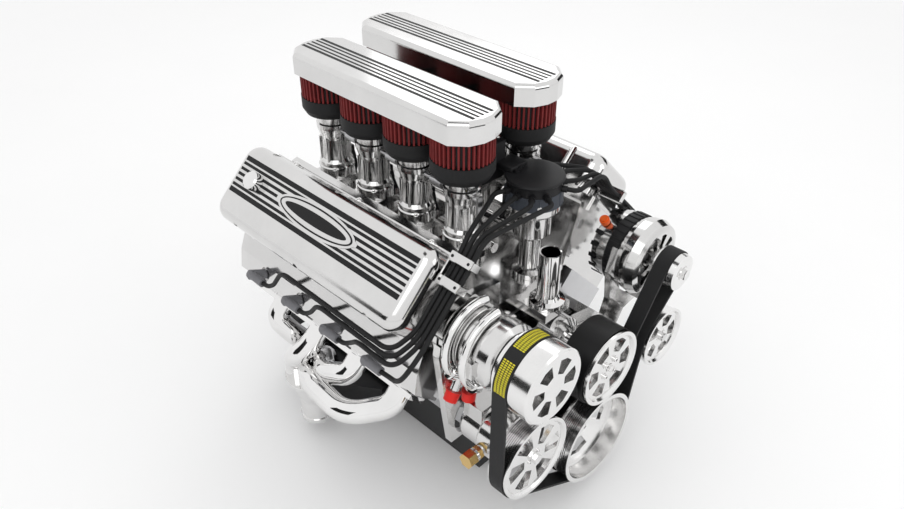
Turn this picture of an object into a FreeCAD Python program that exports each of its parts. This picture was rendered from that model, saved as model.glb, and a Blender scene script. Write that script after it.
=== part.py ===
import FreeCAD, Part
import math
import os
import Sketcher
from FreeCAD import Placement, Rotation, Vector

# A complete V8 engine with eight throttle stacks, an aluminium dress-up and a serpentine belt drive.
# Frame: +Z up, -Y to the front (pulleys), +X to the right seen from the front.
# Origin: centre of the crankshaft's flywheel flange, in the plane of the block's rear face.

SIZE_TABLE = {
    # block and bores
    "block_length": 521.25, "bore_spacing": 111.25, "bank_stagger": 21.0, "bore": 104.8,
    "stroke": 101.6, "deck_height": 241.3, "deck_half_width": 70.0, "bank_angle": 45.0,
    "rail_half_width": 118.0, "skirt_depth": 47.0, "valley_height": 152.0, "valley_half_width": 49.0,
    "crankcase_radius": 88.0, "web_thickness": 22.0, "cam_height": 118.0, "cam_tunnel_radius": 26.5,
    "valley_wall_height": 204.0, "valley_wall_thickness": 22.0, "valley_wall_half_width": 92.0,
    "bell_flange_radius": 185.0, "bell_flange_thickness": 16.0, "bell_flange_rise": 18.0,
    "bell_bolt_circle": 350.0, "bell_bolt_radius": 5.6, "core_plug_radius": 19.0, "core_plug_depth": 3.0,
    "mount_boss_radius": 17.0, "mount_boss_height": 9.0, "mount_hole_radius": 5.5, "mount_spacing": 80.0,
    "mount_middle": 290.0,
    "cap_width": 150.0, "cap_height": 62.0, "running_gap": 0.05, "seat_gap": 0.3,
    # crankshaft and camshaft
    "main_radius": 38.1, "pin_radius": 29.3, "cheek_thickness": 20.0, "counterweight_radius": 82.0,
    "flange_radius": 44.4, "flange_thickness": 24.0, "flange_bolt_circle": 76.2, "flange_bolt_radius": 5.0,
    "nose_radius": 17.5, "lobe_radius": 17.0, "lobe_lift": 7.2, "lobe_width": 14.0, "cam_core_radius": 14.0,
    # pistons and valve gear
    "piston_gap": 0.1, "piston_height": 56.0, "piston_wall": 7.0, "crown_thickness": 11.0,
    "lifter_radius": 11.1, "lifter_length": 46.0, "pushrod_radius": 4.0, "pushrod_length": 196.0,
    "valve_pair_spacing": 46.0, "valve_stem_radius": 4.0, "valve_angle": 20.0,
    "inlet_valve_radius": 25.0, "exhaust_valve_radius": 20.0, "spring_radius": 17.0, "spring_height": 42.0,
    # cylinder heads and covers
    "head_length": 505.0, "head_width_out": 75.0, "head_width_in": 96.0, "rail_height": 366.0,
    "rail_out": 2.0, "rail_in": 154.0, "rocker_floor": 307.0, "rocker_wall": 9.0,
    "cover_height": 80.0, "cover_wall": 4.0, "cover_flange": 6.0, "cover_corner": 24.0,
    "cover_draft": 11.0, "cover_bolt_radius": 3.2, "filler_radius": 17.0, "filler_height": 18.0,
    "filler_station": 86.0, "badge_half_length": 108.0, "badge_half_width": 26.0, "badge_height": 4.0,
    "fin_count": 6, "fin_pitch": 10.5, "fin_groove": 5.5, "fin_depth": 3.0,
    # induction
    "row_offset": 86.0, "stack_base": 345.0, "body_rise": 29.0, "top_rise": 106.0, "collar_rise": 139.0,
    "throttle_bore": 23.5, "body_radius": 27.0, "body_flange_radius": 33.0, "runner_radius": 30.0,
    "shaft_rise": 91.0, "throttle_shaft_radius": 4.0, "throttle_plate_thickness": 2.0,
    "filter_radius": 53.0, "filter_base_height": 22.0, "lid_rise": 204.0, "pleat_count": 36,
    "lid_top_rise": 243.0, "filter_cover_half_width": 57.0, "filter_cover_wall": 5.0,
    "manifold_thickness": 14.0, "manifold_length": 462.0,
    # ignition
    "distributor_x": 32.5, "distributor_y": 490.0, "distributor_cap_radius": 47.0,
    "distributor_cap_base": 398.0, "distributor_cap_top": 447.0, "distributor_body_radius": 34.0,
    "distributor_shaft_radius": 6.0, "wire_radius": 4.2, "plug_radius": 10.0, "boot_radius": 9.5,
    # belt drive
    "belt_plane": 678.0, "belt_width": 28.0, "belt_thickness": 4.5, "groove_depth": 2.4, "groove_count": 8,
    "crank_pulley_radius": 88.5, "crank_pulley_face": 700.0, "pump_height": 172.0, "pump_pulley_radius": 68.5,
    "pump_pulley_face": 706.0, "steering_x": 174.0, "steering_z": 84.0, "steering_pulley_radius": 73.0,
    "steering_pulley_face": 697.0, "compressor_x": 187.0, "compressor_z": 272.0, "compressor_pulley_radius": 60.0,
    "compressor_pulley_face": 728.0, "alternator_x": 190.0, "alternator_z": 270.0,
    "alternator_pulley_radius": 32.0, "alternator_pulley_face": 703.0, "idler_x": 178.0, "idler_z": 128.0,
    "idler_radius": 56.0, "idler_face": 697.0, "tensioner_arm_length": 78.0,
    # front of the engine
    "timing_cover_front": 566.0, "damper_radius": 80.0, "damper_front": 634.0, "damper_rear": 588.0,
    "pump_front": 640.0, "water_neck_radius": 19.0, "water_neck_top": 338.0,
    # oil pan and exhaust
    "pan_depth": 140.0, "pan_wall": 2.5, "pan_half_width": 112.0, "kickout_half_width": 204.0,
    "kickout_front": 270.0, "kickout_rear": 60.0, "kickout_slope": 88.0,
    "primary_radius": 21.0, "primary_wall": 1.6, "collector_radius": 31.0, "header_flange": 9.0,
}

DIAGONAL = math.sqrt(0.5)
CYLINDERS_PER_BANK = 4

DOC = FreeCAD.newDocument("Engine")
SHEET = DOC.addObject("Spreadsheet::Sheet", "Sizes")
for row, (alias, number) in enumerate(SIZE_TABLE.items(), start=1):
    SHEET.set(f"A{row}", alias.replace("_", " "))
    SHEET.set(f"B{row}", str(number))
    SHEET.setAlias(f"B{row}", alias)
DOC.recompute()


class Size:
    """A length that carries both its spreadsheet expression and its present value."""

    def __init__(self, text, value):
        self.text = text
        self.value = float(value)

    def __float__(self):
        return self.value

    def __add__(self, other):
        other = as_size(other)
        return Size(f"({self.text} + {other.text})", self.value + other.value)

    def __sub__(self, other):
        other = as_size(other)
        return Size(f"({self.text} - {other.text})", self.value - other.value)

    def __mul__(self, other):
        other = as_size(other)
        return Size(f"({self.text} * {other.text})", self.value * other.value)

    def __truediv__(self, other):
        other = as_size(other)
        return Size(f"({self.text} / {other.text})", self.value / other.value)

    def __neg__(self):
        return Size(f"(0 - {self.text})", -self.value)

    def __radd__(self, other):
        return as_size(other) + self

    def __rsub__(self, other):
        return as_size(other) - self

    def __rmul__(self, other):
        return as_size(other) * self


def as_size(thing):
    """Plain numbers join in expressions as they are."""
    if isinstance(thing, Size):
        return thing
    return Size(f"({float(thing)!r})", thing)


class SizeBook:
    """Sizes of the sheet by name."""

    def __getattr__(self, name):
        return Size(f"Sizes.{name}", SHEET.get(name))


D = SizeBook()
NODES = {}
TURNS = {
    "Z": Rotation(),
    "-Z": Rotation(Vector(1, 0, 0), 180),
    "Y": Rotation(Vector(1, 0, 0), -90),
    "-Y": Rotation(Vector(1, 0, 0), 90),
    "X": Rotation(Vector(0, 1, 0), 90),
    "-X": Rotation(Vector(0, 1, 0), -90),
}


def bind(obj, prop, size):
    """Ties a property to the sheet, or sets it when the size is a plain number."""
    if isinstance(size, Size):
        obj.setExpression(prop, size.text)
    else:
        setattr(obj, prop, size)


def place(obj, at=(0, 0, 0), turn="Z"):
    """Puts an object at a point whose coordinates follow the sheet."""
    rotation = TURNS[turn] if isinstance(turn, str) else turn
    obj.Placement = Placement(Vector(*[float(part) for part in at]), rotation)
    for axis, size in zip("xyz", at):
        if isinstance(size, Size):
            obj.setExpression(f"Placement.Base.{axis}", size.text)
    return obj


def cylinder(radius, length, at=(0, 0, 0), turn="Z"):
    obj = DOC.addObject("Part::Cylinder", "Round")
    bind(obj, "Radius", radius)
    bind(obj, "Height", length)
    return place(obj, at, turn)


def cone(radius_low, radius_high, length, at=(0, 0, 0), turn="Z"):
    obj = DOC.addObject("Part::Cone", "Taper")
    bind(obj, "Radius1", radius_low)
    bind(obj, "Radius2", radius_high)
    bind(obj, "Height", length)
    return place(obj, at, turn)


def box(low, high, turn="Z"):
    """A block between two corners, both from the sheet."""
    obj = DOC.addObject("Part::Box", "Slab")
    for prop, start, end in zip(("Length", "Width", "Height"), low, high):
        bind(obj, prop, end - start)
    return place(obj, low, turn)


def fuse(shapes):
    if len(shapes) == 1:
        return shapes[0]
    obj = DOC.addObject("Part::MultiFuse", "Union")
    obj.Shapes = shapes
    obj.Refine = True
    return obj


def cut(base, tools):
    obj = DOC.addObject("Part::Cut", "Difference")
    obj.Base = base
    obj.Tool = fuse(tools)
    obj.Refine = True
    return obj


def group(shapes):
    """Separate solids that share one node."""
    obj = DOC.addObject("Part::Compound", "Group")
    obj.Links = shapes
    return obj


def computed(shape):
    """A form that neither sketches nor primitives fit, computed from sheet values."""
    obj = DOC.addObject("Part::Feature", "Form")
    obj.Shape = shape
    return obj


def outline(body, plane, points):
    """A closed polygon sketch whose corners are held by sheet expressions."""
    sketch = body.newObject("Sketcher::SketchObject", "Outline")
    origin = next(item for item in body.Origin.OriginFeatures if item.Role == plane)
    sketch.AttachmentSupport = (origin, [""])
    sketch.MapMode = "FlatFace"
    corners = [Vector(float(across), float(up), 0) for across, up in points]
    count = len(corners)
    sketch.addGeometry([Part.LineSegment(corners[i], corners[(i + 1) % count]) for i in range(count)], False)
    for i in range(count):
        sketch.addConstraint(Sketcher.Constraint("Coincident", i, 2, (i + 1) % count, 1))
    for i, pair in enumerate(points):
        for kind, size, axis in zip(("DistanceX", "DistanceY"), pair, (-2, -1)):
            if not isinstance(size, Size) and abs(size) < 1e-9:
                sketch.addConstraint(Sketcher.Constraint("PointOnObject", i, 1, axis))
                continue
            spot = sketch.addConstraint(Sketcher.Constraint(kind, -1, 1, i, 1, float(size)))
            if isinstance(size, Size):
                sketch.setExpression(f"Constraints[{spot}]", size.text)
    return sketch


def turned(profile, at=(0, 0, 0), turn="Z"):
    """A lathe-turned piece; the profile gives radius and station along its own axis."""
    body = DOC.addObject("PartDesign::Body", "Turned")
    sketch = outline(body, "XZ_Plane", profile)
    spin = body.newObject("PartDesign::Revolution", "Spin")
    spin.Profile = sketch
    spin.ReferenceAxis = (sketch, ["V_Axis"])
    spin.Angle = 360
    body.Tip = spin
    return place(body, at, turn)


def slab(points, thickness, at=(0, 0, 0), plane="XZ_Plane", turn="Z"):
    """An extruded outline; in the XZ plane it grows to the front."""
    body = DOC.addObject("PartDesign::Body", "Plate")
    sketch = outline(body, plane, points)
    pad = body.newObject("PartDesign::Pad", "Pad")
    pad.Profile = sketch
    bind(pad, "Length", thickness)
    body.Tip = pad
    return place(body, at, turn)


def node(name, obj):
    """Registers a finished sub-part under its own name."""
    obj.Label = name
    NODES[name] = obj
    return obj


# ---------------------------------------------------------------- bank geometry

BANKS = ("left", "right")
BANK_TURN = {
    "left": Rotation(Vector(0, 1, 0), -45),
    "right": Rotation(Vector(0, 0, 1), 180) * Rotation(Vector(0, 1, 0), -45),
}
OUTWARD = Rotation(Vector(0, 1, 0), -90)


def station(index):
    """Distance of a cylinder's axis along the left bank, seen in the bank's own frame."""
    return -(D.block_length / 2 + D.bank_stagger / 2 + D.bore_spacing * (1.5 - index))


def world(side, out, up, along):
    """A point of a bank: distance out from the cylinder plane, up from the crank axis, and along."""
    across = (up + out) * DIAGONAL
    rise = (up - out) * DIAGONAL
    if side == "left":
        return -across, along, rise
    return across, -along - D.block_length, rise


def to_bank(obj, side):
    """Stands a piece that was drawn in the left bank's frame on its bank."""
    if side == "left":
        return place(obj, (0, 0, 0), BANK_TURN[side])
    return place(obj, (0, -D.block_length, 0), BANK_TURN[side])


def section(points):
    """Turns (out, up) corners of a bank section into sketch corners."""
    return [(-as_size(out), up) for out, up in points]


def edges_where(obj, test):
    """Numbers of the edges that pass a test on their bounding box."""
    DOC.recompute()
    return [i for i, edge in enumerate(obj.Shape.Edges, start=1) if test(edge)]


def rounded(base, radius, test):
    numbers = edges_where(base, test)
    obj = DOC.addObject("Part::Fillet", "Rounded")
    obj.Base = base
    obj.Edges = [(number, float(radius), float(radius)) for number in numbers]
    return obj


def is_upright(edge):
    bounds = edge.BoundBox
    return bounds.ZLength > 1 and bounds.XLength < 0.01 and bounds.YLength < 0.01


# ---------------------------------------------------------------- block and crankcase

def block_section():
    outer_knee = D.rail_half_width - D.deck_half_width * (2 * DIAGONAL)
    inner_knee = D.valley_height - D.deck_half_width * (2 * DIAGONAL)
    deck_out = world("left", D.deck_half_width, D.deck_height, 0)
    deck_in = world("left", -D.deck_half_width, D.deck_height, 0)
    left = [(-D.rail_half_width, -D.skirt_depth), (-D.rail_half_width, outer_knee),
            (deck_out[0], deck_out[2]), (deck_in[0], deck_in[2]), (-inner_knee, D.valley_height)]
    right = [(-across, up) for across, up in reversed(left)]
    return left + right


def main_station(index):
    return -(D.block_length / 2 + D.bore_spacing * (2 - index))


def lifter_stations():
    """Cam followers sit half a valve spacing either side of each cylinder."""
    return [station(i) + D.valve_pair_spacing * half for i in range(CYLINDERS_PER_BANK) for half in (-0.5, 0.5)]


def cylinder_block():
    body = slab(block_section(), D.block_length)
    wall = D.valley_wall_half_width
    rear_wall = box((-wall, -D.valley_wall_thickness, D.valley_height - 20), (wall, 0, D.valley_wall_height))
    front_wall = box((-wall, -D.block_length, D.valley_height - 20),
                     (wall, -D.block_length + D.valley_wall_thickness, D.valley_wall_height))
    bell = cut(cylinder(D.bell_flange_radius, D.bell_flange_thickness,
                        (0, 0, D.bell_flange_rise), "-Y"),
               [box((-2 * D.bell_flange_radius, -2 * D.bell_flange_thickness, -3 * D.bell_flange_radius),
                    (2 * D.bell_flange_radius, D.bell_flange_thickness, -D.skirt_depth))])
    distributor_boss = cylinder(D.distributor_body_radius - 6, D.valley_wall_height - 120,
                                (D.distributor_x, -D.distributor_y, 120))
    solids = [body, rear_wall, front_wall, bell, distributor_boss]
    tools = []
    for side in BANKS:
        for i in range(CYLINDERS_PER_BANK):
            tools.append(cylinder(D.bore / 2, D.deck_height, world(side, 0, D.crankcase_radius - 28, station(i)),
                                  BANK_TURN[side]))
        for i in range(CYLINDERS_PER_BANK - 1):
            tools.append(cylinder(D.core_plug_radius, 3 * D.core_plug_depth,
                                  world(side, D.deck_half_width - D.core_plug_depth, 178,
                                        station(i) + D.bore_spacing / 2), BANK_TURN[side] * OUTWARD))
        for along in lifter_stations():
            tools.append(cylinder(D.lifter_radius + D.running_gap, 120,
                                  world(side, -D.cam_height * DIAGONAL, D.cam_height * DIAGONAL + 14, along),
                                  BANK_TURN[side]))
        for spot in (-0.5, 0.5):
            boss_at = world(side, D.deck_half_width - 1, 128, -D.mount_middle + D.mount_spacing * spot)
            solids.append(cylinder(D.mount_boss_radius, D.mount_boss_height + 1, boss_at, BANK_TURN[side] * OUTWARD))
            hole_at = world(side, D.deck_half_width - 12, 128, -D.mount_middle + D.mount_spacing * spot)
            tools.append(cylinder(D.mount_hole_radius, 40, hole_at, BANK_TURN[side] * OUTWARD))
    for i in range(4):
        rear = main_station(i) + D.web_thickness / 2
        tools.append(cylinder(D.crankcase_radius, D.bore_spacing - D.web_thickness,
                              (0, rear, 0), "Y"))
    tools.append(box((-D.crankcase_radius, -D.block_length - 1, -2 * D.skirt_depth), (D.crankcase_radius, 1, 0)))
    tools.append(cylinder(D.main_radius + D.running_gap, D.block_length + 2, (0, 1, 0), "-Y"))
    tools.append(cylinder(D.flange_radius + D.running_gap, D.flange_thickness + 1, (0, 1, 0), "-Y"))
    tools.append(cylinder(D.cam_tunnel_radius, D.block_length, (0, -8, D.cam_height), "-Y"))
    tools.append(cylinder(D.distributor_body_radius - 14, 300, (D.distributor_x, -D.distributor_y, 94)))
    for angle in (20, 55, 90, 125, 160):
        turn = math.radians(angle)
        tools.append(cylinder(D.bell_bolt_radius, 3 * D.bell_flange_thickness,
                              (D.bell_bolt_circle * (math.cos(turn) / 2), D.bell_flange_thickness,
                               D.bell_flange_rise + D.bell_bolt_circle * (math.sin(turn) / 2)), "-Y"))
    node("cylinder_block", cut(fuse(solids), tools))


def main_bearing_caps():
    """Five caps close the lower half of each main bearing; the end caps fill the skirt's ends."""
    half = D.crankcase_radius - D.seat_gap
    caps = []
    for i in range(5):
        front = main_station(i) - D.web_thickness / 2
        back = main_station(i) + D.web_thickness / 2
        depth = D.cap_height
        if i == 0:
            front = -D.block_length
            depth = D.skirt_depth
        if i == 4:
            back = 0
            depth = D.skirt_depth
        caps.append(box((-half, front, -depth), (half, back, 0)))
    bore = cylinder(D.main_radius + D.running_gap, D.block_length + 2, (0, 1, 0), "-Y")
    seal = cylinder(D.flange_radius + D.running_gap, D.flange_thickness + 1, (0, 1, 0), "-Y")
    node("main_bearing_caps", cut(group(caps), [bore, seal]))


def crankshaft():
    """Cross-plane crankshaft with five mains, four throws and counterweights."""
    throw = float(D.stroke) / 2
    gap = float(D.seat_gap)
    web = float(D.web_thickness)
    cheek = float(D.cheek_thickness)
    front = Vector(0, -1, 0)
    shapes = [Part.makeCylinder(float(D.flange_radius), float(D.flange_thickness), Vector(0, 0, 0), front)]
    for i in range(5):
        start = float(main_station(i)) + web / 2 + gap
        length = web + 2 * gap
        if i == 4:
            start = 0
            length = -float(main_station(i)) + web / 2 + gap
        if i == 0:
            length = start + float(D.block_length)
        shapes.append(Part.makeCylinder(float(D.main_radius), length, Vector(0, start, 0), front))
    pin_angles = (135, 225, 45, 315)
    for i, angle in enumerate(pin_angles):
        high = float(main_station(i + 1)) - web / 2 - gap
        low = float(main_station(i)) + web / 2 + gap
        turn = math.radians(angle)
        pin = Vector(throw * math.cos(turn), 0, throw * math.sin(turn))
        shapes.append(Part.makeCylinder(float(D.pin_radius), high - low, Vector(pin.x, high, pin.z), front))
        for start in (high, low + cheek):
            weight = Part.makeCylinder(float(D.counterweight_radius), cheek, Vector(0, start, 0), front)
            block = Part.makeBox(float(D.counterweight_radius) * 2.2, cheek, float(D.counterweight_radius) * 2.2)
            block.translate(Vector(-float(D.counterweight_radius) * 1.1, start - cheek, 8))
            block.rotate(Vector(0, 0, 0), Vector(0, 1, 0), 90 - angle)
            weight = weight.cut(block)
            arm = Part.makeBox(2 * float(D.pin_radius), cheek, throw + 12)
            arm.translate(Vector(-float(D.pin_radius), start - cheek, -10))
            arm.rotate(Vector(0, 0, 0), Vector(0, 1, 0), 90 - angle)
            cap = Part.makeCylinder(float(D.pin_radius) + 1.5, cheek, Vector(pin.x, start, pin.z), front)
            shapes.append(weight.fuse([arm, cap]))
    nose_start = -float(D.block_length)
    nose_end = -float(D.damper_front) - 4
    shapes.append(Part.makeCylinder(float(D.nose_radius), nose_start - nose_end, Vector(0, nose_start, 0), front))
    shaft = shapes[0].fuse(shapes[1:]).removeSplitter()
    for i in range(6):
        turn = math.radians(60 * i)
        radius = float(D.flange_bolt_circle) / 2
        hole = Part.makeCylinder(float(D.flange_bolt_radius), 22,
                                 Vector(radius * math.cos(turn), 1, radius * math.sin(turn)), front)
        shaft = shaft.cut(hole)
    pilot = Part.makeCylinder(17.5, 16, Vector(0, 1, 0), front)
    node("crankshaft", computed(shaft.cut(pilot)))


def camshaft():
    """Camshaft with sixteen lobes; every lobe's nose clears the lifters at their highest point."""
    front = Vector(0, -1, 0)
    axis = Vector(0, 0, float(D.cam_height))
    end = float(D.block_length) + 30
    shapes = [Part.makeCylinder(float(D.cam_core_radius), end - 10, axis + Vector(0, -10, 0), front)]
    journal_length = float(D.web_thickness) - 4
    for i in range(5):
        start = float(main_station(i)) + journal_length / 2
        if i == 0:
            start = -float(D.block_length) + journal_length - 2
        journal = Part.makeCylinder(float(D.cam_tunnel_radius) - float(D.running_gap), journal_length,
                                    axis + Vector(0, start, 0), front)
        shapes.append(journal)
    nose = float(D.lobe_radius) * 0.45
    reach = float(D.lobe_radius) + float(D.lobe_lift) - nose
    for side in BANKS:
        for i, along in enumerate(lifter_stations()):
            where = float(world(side, 0, 0, along)[1])
            turn = math.radians(45 + 90 * i + (22 if side == "right" else 0))
            low = axis + Vector(0, where + float(D.lobe_width) / 2, 0)
            tip = low + Vector(reach * math.cos(turn), 0, reach * math.sin(turn))
            base = Part.makeCylinder(float(D.lobe_radius), float(D.lobe_width), low, front)
            peak = Part.makeCylinder(nose, float(D.lobe_width), tip, front)
            shapes += [base, peak]
    gear = Part.makeCylinder(18, 24, axis + Vector(0, -float(D.distributor_y) + 12, 0), front)
    shapes.append(gear)
    node("camshaft", computed(shapes[0].fuse(shapes[1:]).removeSplitter()))


def sprocket_blank(teeth_radius, bore_radius, width, at):
    return turned([(bore_radius, 0), (teeth_radius, 0), (teeth_radius, width), (bore_radius, width)], at, "-Y")


CHAIN_PLANE = 531


def timing_set():
    crank_teeth = 33
    cam_teeth = 66
    width = 8
    node("crank_sprocket", sprocket_blank(crank_teeth, D.nose_radius, width, (0, -CHAIN_PLANE, 0)))
    node("cam_sprocket", sprocket_blank(cam_teeth, D.cam_core_radius, width, (0, -CHAIN_PLANE, D.cam_height)))
    loop = loop_band([(0, 0, crank_teeth, 1), (0, float(D.cam_height), cam_teeth, 1)], 0.4, 7, width,
                     -CHAIN_PLANE)
    node("timing_chain", computed(loop))


def loop_band(wheels, gap, thickness, width, plane):
    """A flat band around wheels given as (x, z, radius, side); side -1 runs on the band's back."""
    def ring(offset_front, offset_back):
        circles = [(x, z, r + (offset_front if side > 0 else offset_back), side) for x, z, r, side in wheels]
        joins = []
        for i, (x0, z0, r0, s0) in enumerate(circles):
            x1, z1, r1, s1 = circles[(i + 1) % len(circles)]
            span = math.hypot(x1 - x0, z1 - z0)
            heading = math.atan2(z1 - z0, x1 - x0)
            lean = math.asin((r0 * s0 - r1 * s1) / span)
            normal = heading + math.pi / 2 - lean
            joins.append(((x0 + s0 * r0 * math.cos(normal), z0 + s0 * r0 * math.sin(normal)),
                          (x1 + s1 * r1 * math.cos(normal), z1 + s1 * r1 * math.sin(normal))))
        edges = []
        for i, (x, z, r, side) in enumerate(circles):
            arrive = joins[i - 1][1]
            leave = joins[i][0]
            start = math.atan2(arrive[1] - z, arrive[0] - x)
            end = math.atan2(leave[1] - z, leave[0] - x)
            sweep = (start - end) % (2 * math.pi) if side > 0 else (end - start) % (2 * math.pi)
            middle = start - sweep / 2 if side > 0 else start + sweep / 2
            points = [Vector(arrive[0], plane, arrive[1]),
                      Vector(x + r * math.cos(middle), plane, z + r * math.sin(middle)),
                      Vector(leave[0], plane, leave[1])]
            edges.append(Part.Arc(*points).toShape())
            after = joins[i][1]
            edges.append(Part.LineSegment(points[2], Vector(after[0], plane, after[1])).toShape())
        return Part.Face(Part.Wire(edges))
    outside = ring(gap + thickness, gap)
    inside = ring(gap, gap + thickness)
    return outside.cut(inside).extrude(Vector(0, -width, 0))


# ---------------------------------------------------------------- heads, covers and valve gear

PORT_UP = 272
PLUG_OUT = 32
PLUG_UP = 248
PLUG_ALONG = 14
PLUG_LEAN = math.radians(20)
PLUG_TURN = Rotation(Vector(0, 1, 0), -20)
PLUG_SEAT = 66
TIP_OUT = -46
TIP_UP = 352


def head_front():
    """Front face of a head in the left bank's frame."""
    return -(D.block_length + D.head_length) / 2


def plug_seat(along, distance=0):
    """A point on a spark plug's axis in the left bank's frame, measured outwards from its seat."""
    reach = PLUG_SEAT + distance
    return -PLUG_OUT - reach * math.sin(PLUG_LEAN), along + PLUG_ALONG, PLUG_UP + reach * math.cos(PLUG_LEAN)


def lean_turn(side):
    """Direction of a valve's stem, tilted towards the valley."""
    return BANK_TURN[side] * Rotation(Vector(0, 1, 0), float(D.valve_angle))


def valve_point(side, along, distance):
    """A point on a valve's axis, measured down from the stem's tip."""
    tilt = math.radians(float(D.valve_angle))
    out = TIP_OUT + distance * math.sin(tilt)
    up = TIP_UP - distance * math.cos(tilt)
    return world(side, as_size(out), as_size(up), along)


def cylinder_head(side):
    deck = D.deck_height + D.seat_gap
    profile = section([
        (D.head_width_out, deck), (D.head_width_out, deck + 64), (42, deck + 88), (D.rail_out, D.rail_height - 20),
        (D.rail_out, D.rail_height), (-D.rail_in, D.rail_height), (-D.rail_in, D.rail_height - 16),
        (-D.head_width_in, deck)])
    casting = slab(profile, D.head_length, (0, head_front() + D.head_length, 0))
    rail = D.rocker_wall
    rocker_box = box((18 - D.rail_out, head_front() + rail, D.rocker_floor),
                     (D.rail_in - 34, head_front() + D.head_length - rail, D.rail_height + 1))
    tools = [rocker_box]
    solids = [casting]
    for i in range(CYLINDERS_PER_BANK):
        along = station(i)
        intake = along + D.valve_pair_spacing / 2
        exhaust = along - D.valve_pair_spacing / 2
        solids.append(cylinder(22, 14, (-D.head_width_out + 8, exhaust, PORT_UP), OUTWARD))
        tools.append(cylinder(46, 9, (0, along, D.deck_height)))
        tilt = Rotation(Vector(0, 1, 0), float(D.valve_angle))
        for where, radius, throat in ((intake, D.inlet_valve_radius, 21), (exhaust, D.exhaust_valve_radius, 17)):
            slope = math.radians(float(D.valve_angle))
            seat = 104
            seat_at = (-TIP_OUT - seat * math.sin(slope), where, TIP_UP - seat * math.cos(slope))
            low = 20
            low_at = (seat_at[0] - low * math.sin(slope), where, seat_at[2] - low * math.cos(slope))
            tools.append(cylinder(radius + 1, low + 5, low_at, tilt))
            tools.append(cylinder(throat, 24, seat_at, tilt))
            tools.append(cylinder(D.valve_stem_radius + D.running_gap, seat, seat_at, tilt))
            tools.append(cylinder(7, 90, (D.cam_height * DIAGONAL, where, D.deck_height - 2)))
        tools.append(cylinder(15.5, 100, (14, exhaust, PORT_UP - 6), OUTWARD))
        tools.append(cylinder(13, 62, (26, intake, 270), Rotation(Vector(0, 0, 1), Vector(0.86, -0.36, 0.28))))
        tools.append(box((70, along - 14, INLET_UP - 18), (D.rail_in, along + 14, INLET_UP + 18)))
        tools.append(cylinder(D.plug_radius - 3, 110, (-PLUG_OUT, along + PLUG_ALONG, PLUG_UP), PLUG_TURN))
        tools.append(cylinder(D.plug_radius + 3, 60, plug_seat(along), PLUG_TURN))
    node(f"cylinder_head_{side}", to_bank(cut(fuse(solids), tools), side))


def cover_box(side_gap, wall, height, flange=False):
    """The cover's rounded bar in the left bank's frame; wall moves every face inwards."""
    low_x = -D.rail_out + side_gap + wall
    high_x = D.rail_in - side_gap - wall
    front = head_front() + side_gap + wall
    back = head_front() + D.head_length - side_gap - wall
    base = D.rail_height + D.seat_gap
    if wall:
        base = base - 1
    return box((low_x, front, base), (high_x, back, base + height))


def valve_cover(side):
    """Polished cover: rounded hollow bar on a thin flange, grooved crown with an oval raised pad."""
    gap = 3
    shell = cover_box(gap, 0, D.cover_height)
    shell = rounded(shell, D.cover_corner + 6, is_upright)
    top = float(D.rail_height + D.seat_gap + D.cover_height)
    shell = rounded(shell, D.cover_corner, lambda edge: edge.BoundBox.ZMin > top - 0.01)
    flange = rounded(cover_box(0, 0, D.cover_flange), 20, is_upright)
    crown = D.rail_height + D.seat_gap + D.cover_height
    centre = (D.rail_in - D.rail_out) / 2 + 12
    solids = [fuse([shell, flange])]
    tools = []
    inner = cover_box(gap, D.cover_wall, D.cover_height - D.cover_wall)
    inner = rounded(inner, D.cover_corner + 2, is_upright)
    inner_top = float(D.rail_height + D.seat_gap + D.cover_height - D.cover_wall - 1)
    inner = rounded(inner, D.cover_corner - 4, lambda edge: edge.BoundBox.ZMin > inner_top - 0.01)
    posts = [cylinder(12, D.cover_height, (spot[0], spot[1], D.rail_height)) for spot in cover_bolt_spots()]
    tools.append(cut(inner, posts))
    seat = D.rail_height + D.seat_gap + D.cover_flange
    tools += [cylinder(7.5, D.cover_height, (spot[0], spot[1], seat)) for spot in cover_bolt_spots()]
    middle = head_front() + D.head_length / 2
    half = D.head_length / 2 - 22
    for i in range(7):
        spot = centre + (i - 3) * D.fin_pitch
        width = D.fin_groove / 2 + (1.8 if i in (0, 6) else 0)
        groove = box((spot - width, middle - half, crown - D.fin_depth), (spot + width, middle + half, crown + 1))
        tools.append(groove)
    badge = slab([(centre - D.badge_half_width * 0.1, middle - D.badge_half_length),
                  (centre + D.badge_half_width * 0.1, middle - D.badge_half_length),
                  (centre + D.badge_half_width * 0.75, middle - D.badge_half_length * 0.6),
                  (centre + D.badge_half_width, middle - D.badge_half_length * 0.2),
                  (centre + D.badge_half_width, middle + D.badge_half_length * 0.2),
                  (centre + D.badge_half_width * 0.75, middle + D.badge_half_length * 0.6),
                  (centre + D.badge_half_width * 0.1, middle + D.badge_half_length),
                  (centre - D.badge_half_width * 0.1, middle + D.badge_half_length),
                  (centre - D.badge_half_width * 0.75, middle + D.badge_half_length * 0.6),
                  (centre - D.badge_half_width, middle + D.badge_half_length * 0.2),
                  (centre - D.badge_half_width, middle - D.badge_half_length * 0.2),
                  (centre - D.badge_half_width * 0.75, middle - D.badge_half_length * 0.6)],
                 D.badge_height, (0, 0, crown - D.fin_depth), "XY_Plane")
    shell = fuse([cut(fuse(solids), tools), badge])
    bolts = [cylinder(D.cover_bolt_radius + 0.3, 60, bolt_at) for bolt_at in cover_bolt_spots()]
    if side == "left":
        bolts.append(cylinder(D.filler_radius - 3, 60, (centre, -D.filler_station, crown - 30)))
    else:
        bolts.append(cylinder(D.filler_radius - 3, 10, (centre, -D.filler_station, crown - 30)))
    node(f"valve_cover_{side}", to_bank(cut(shell, bolts), side))


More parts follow.
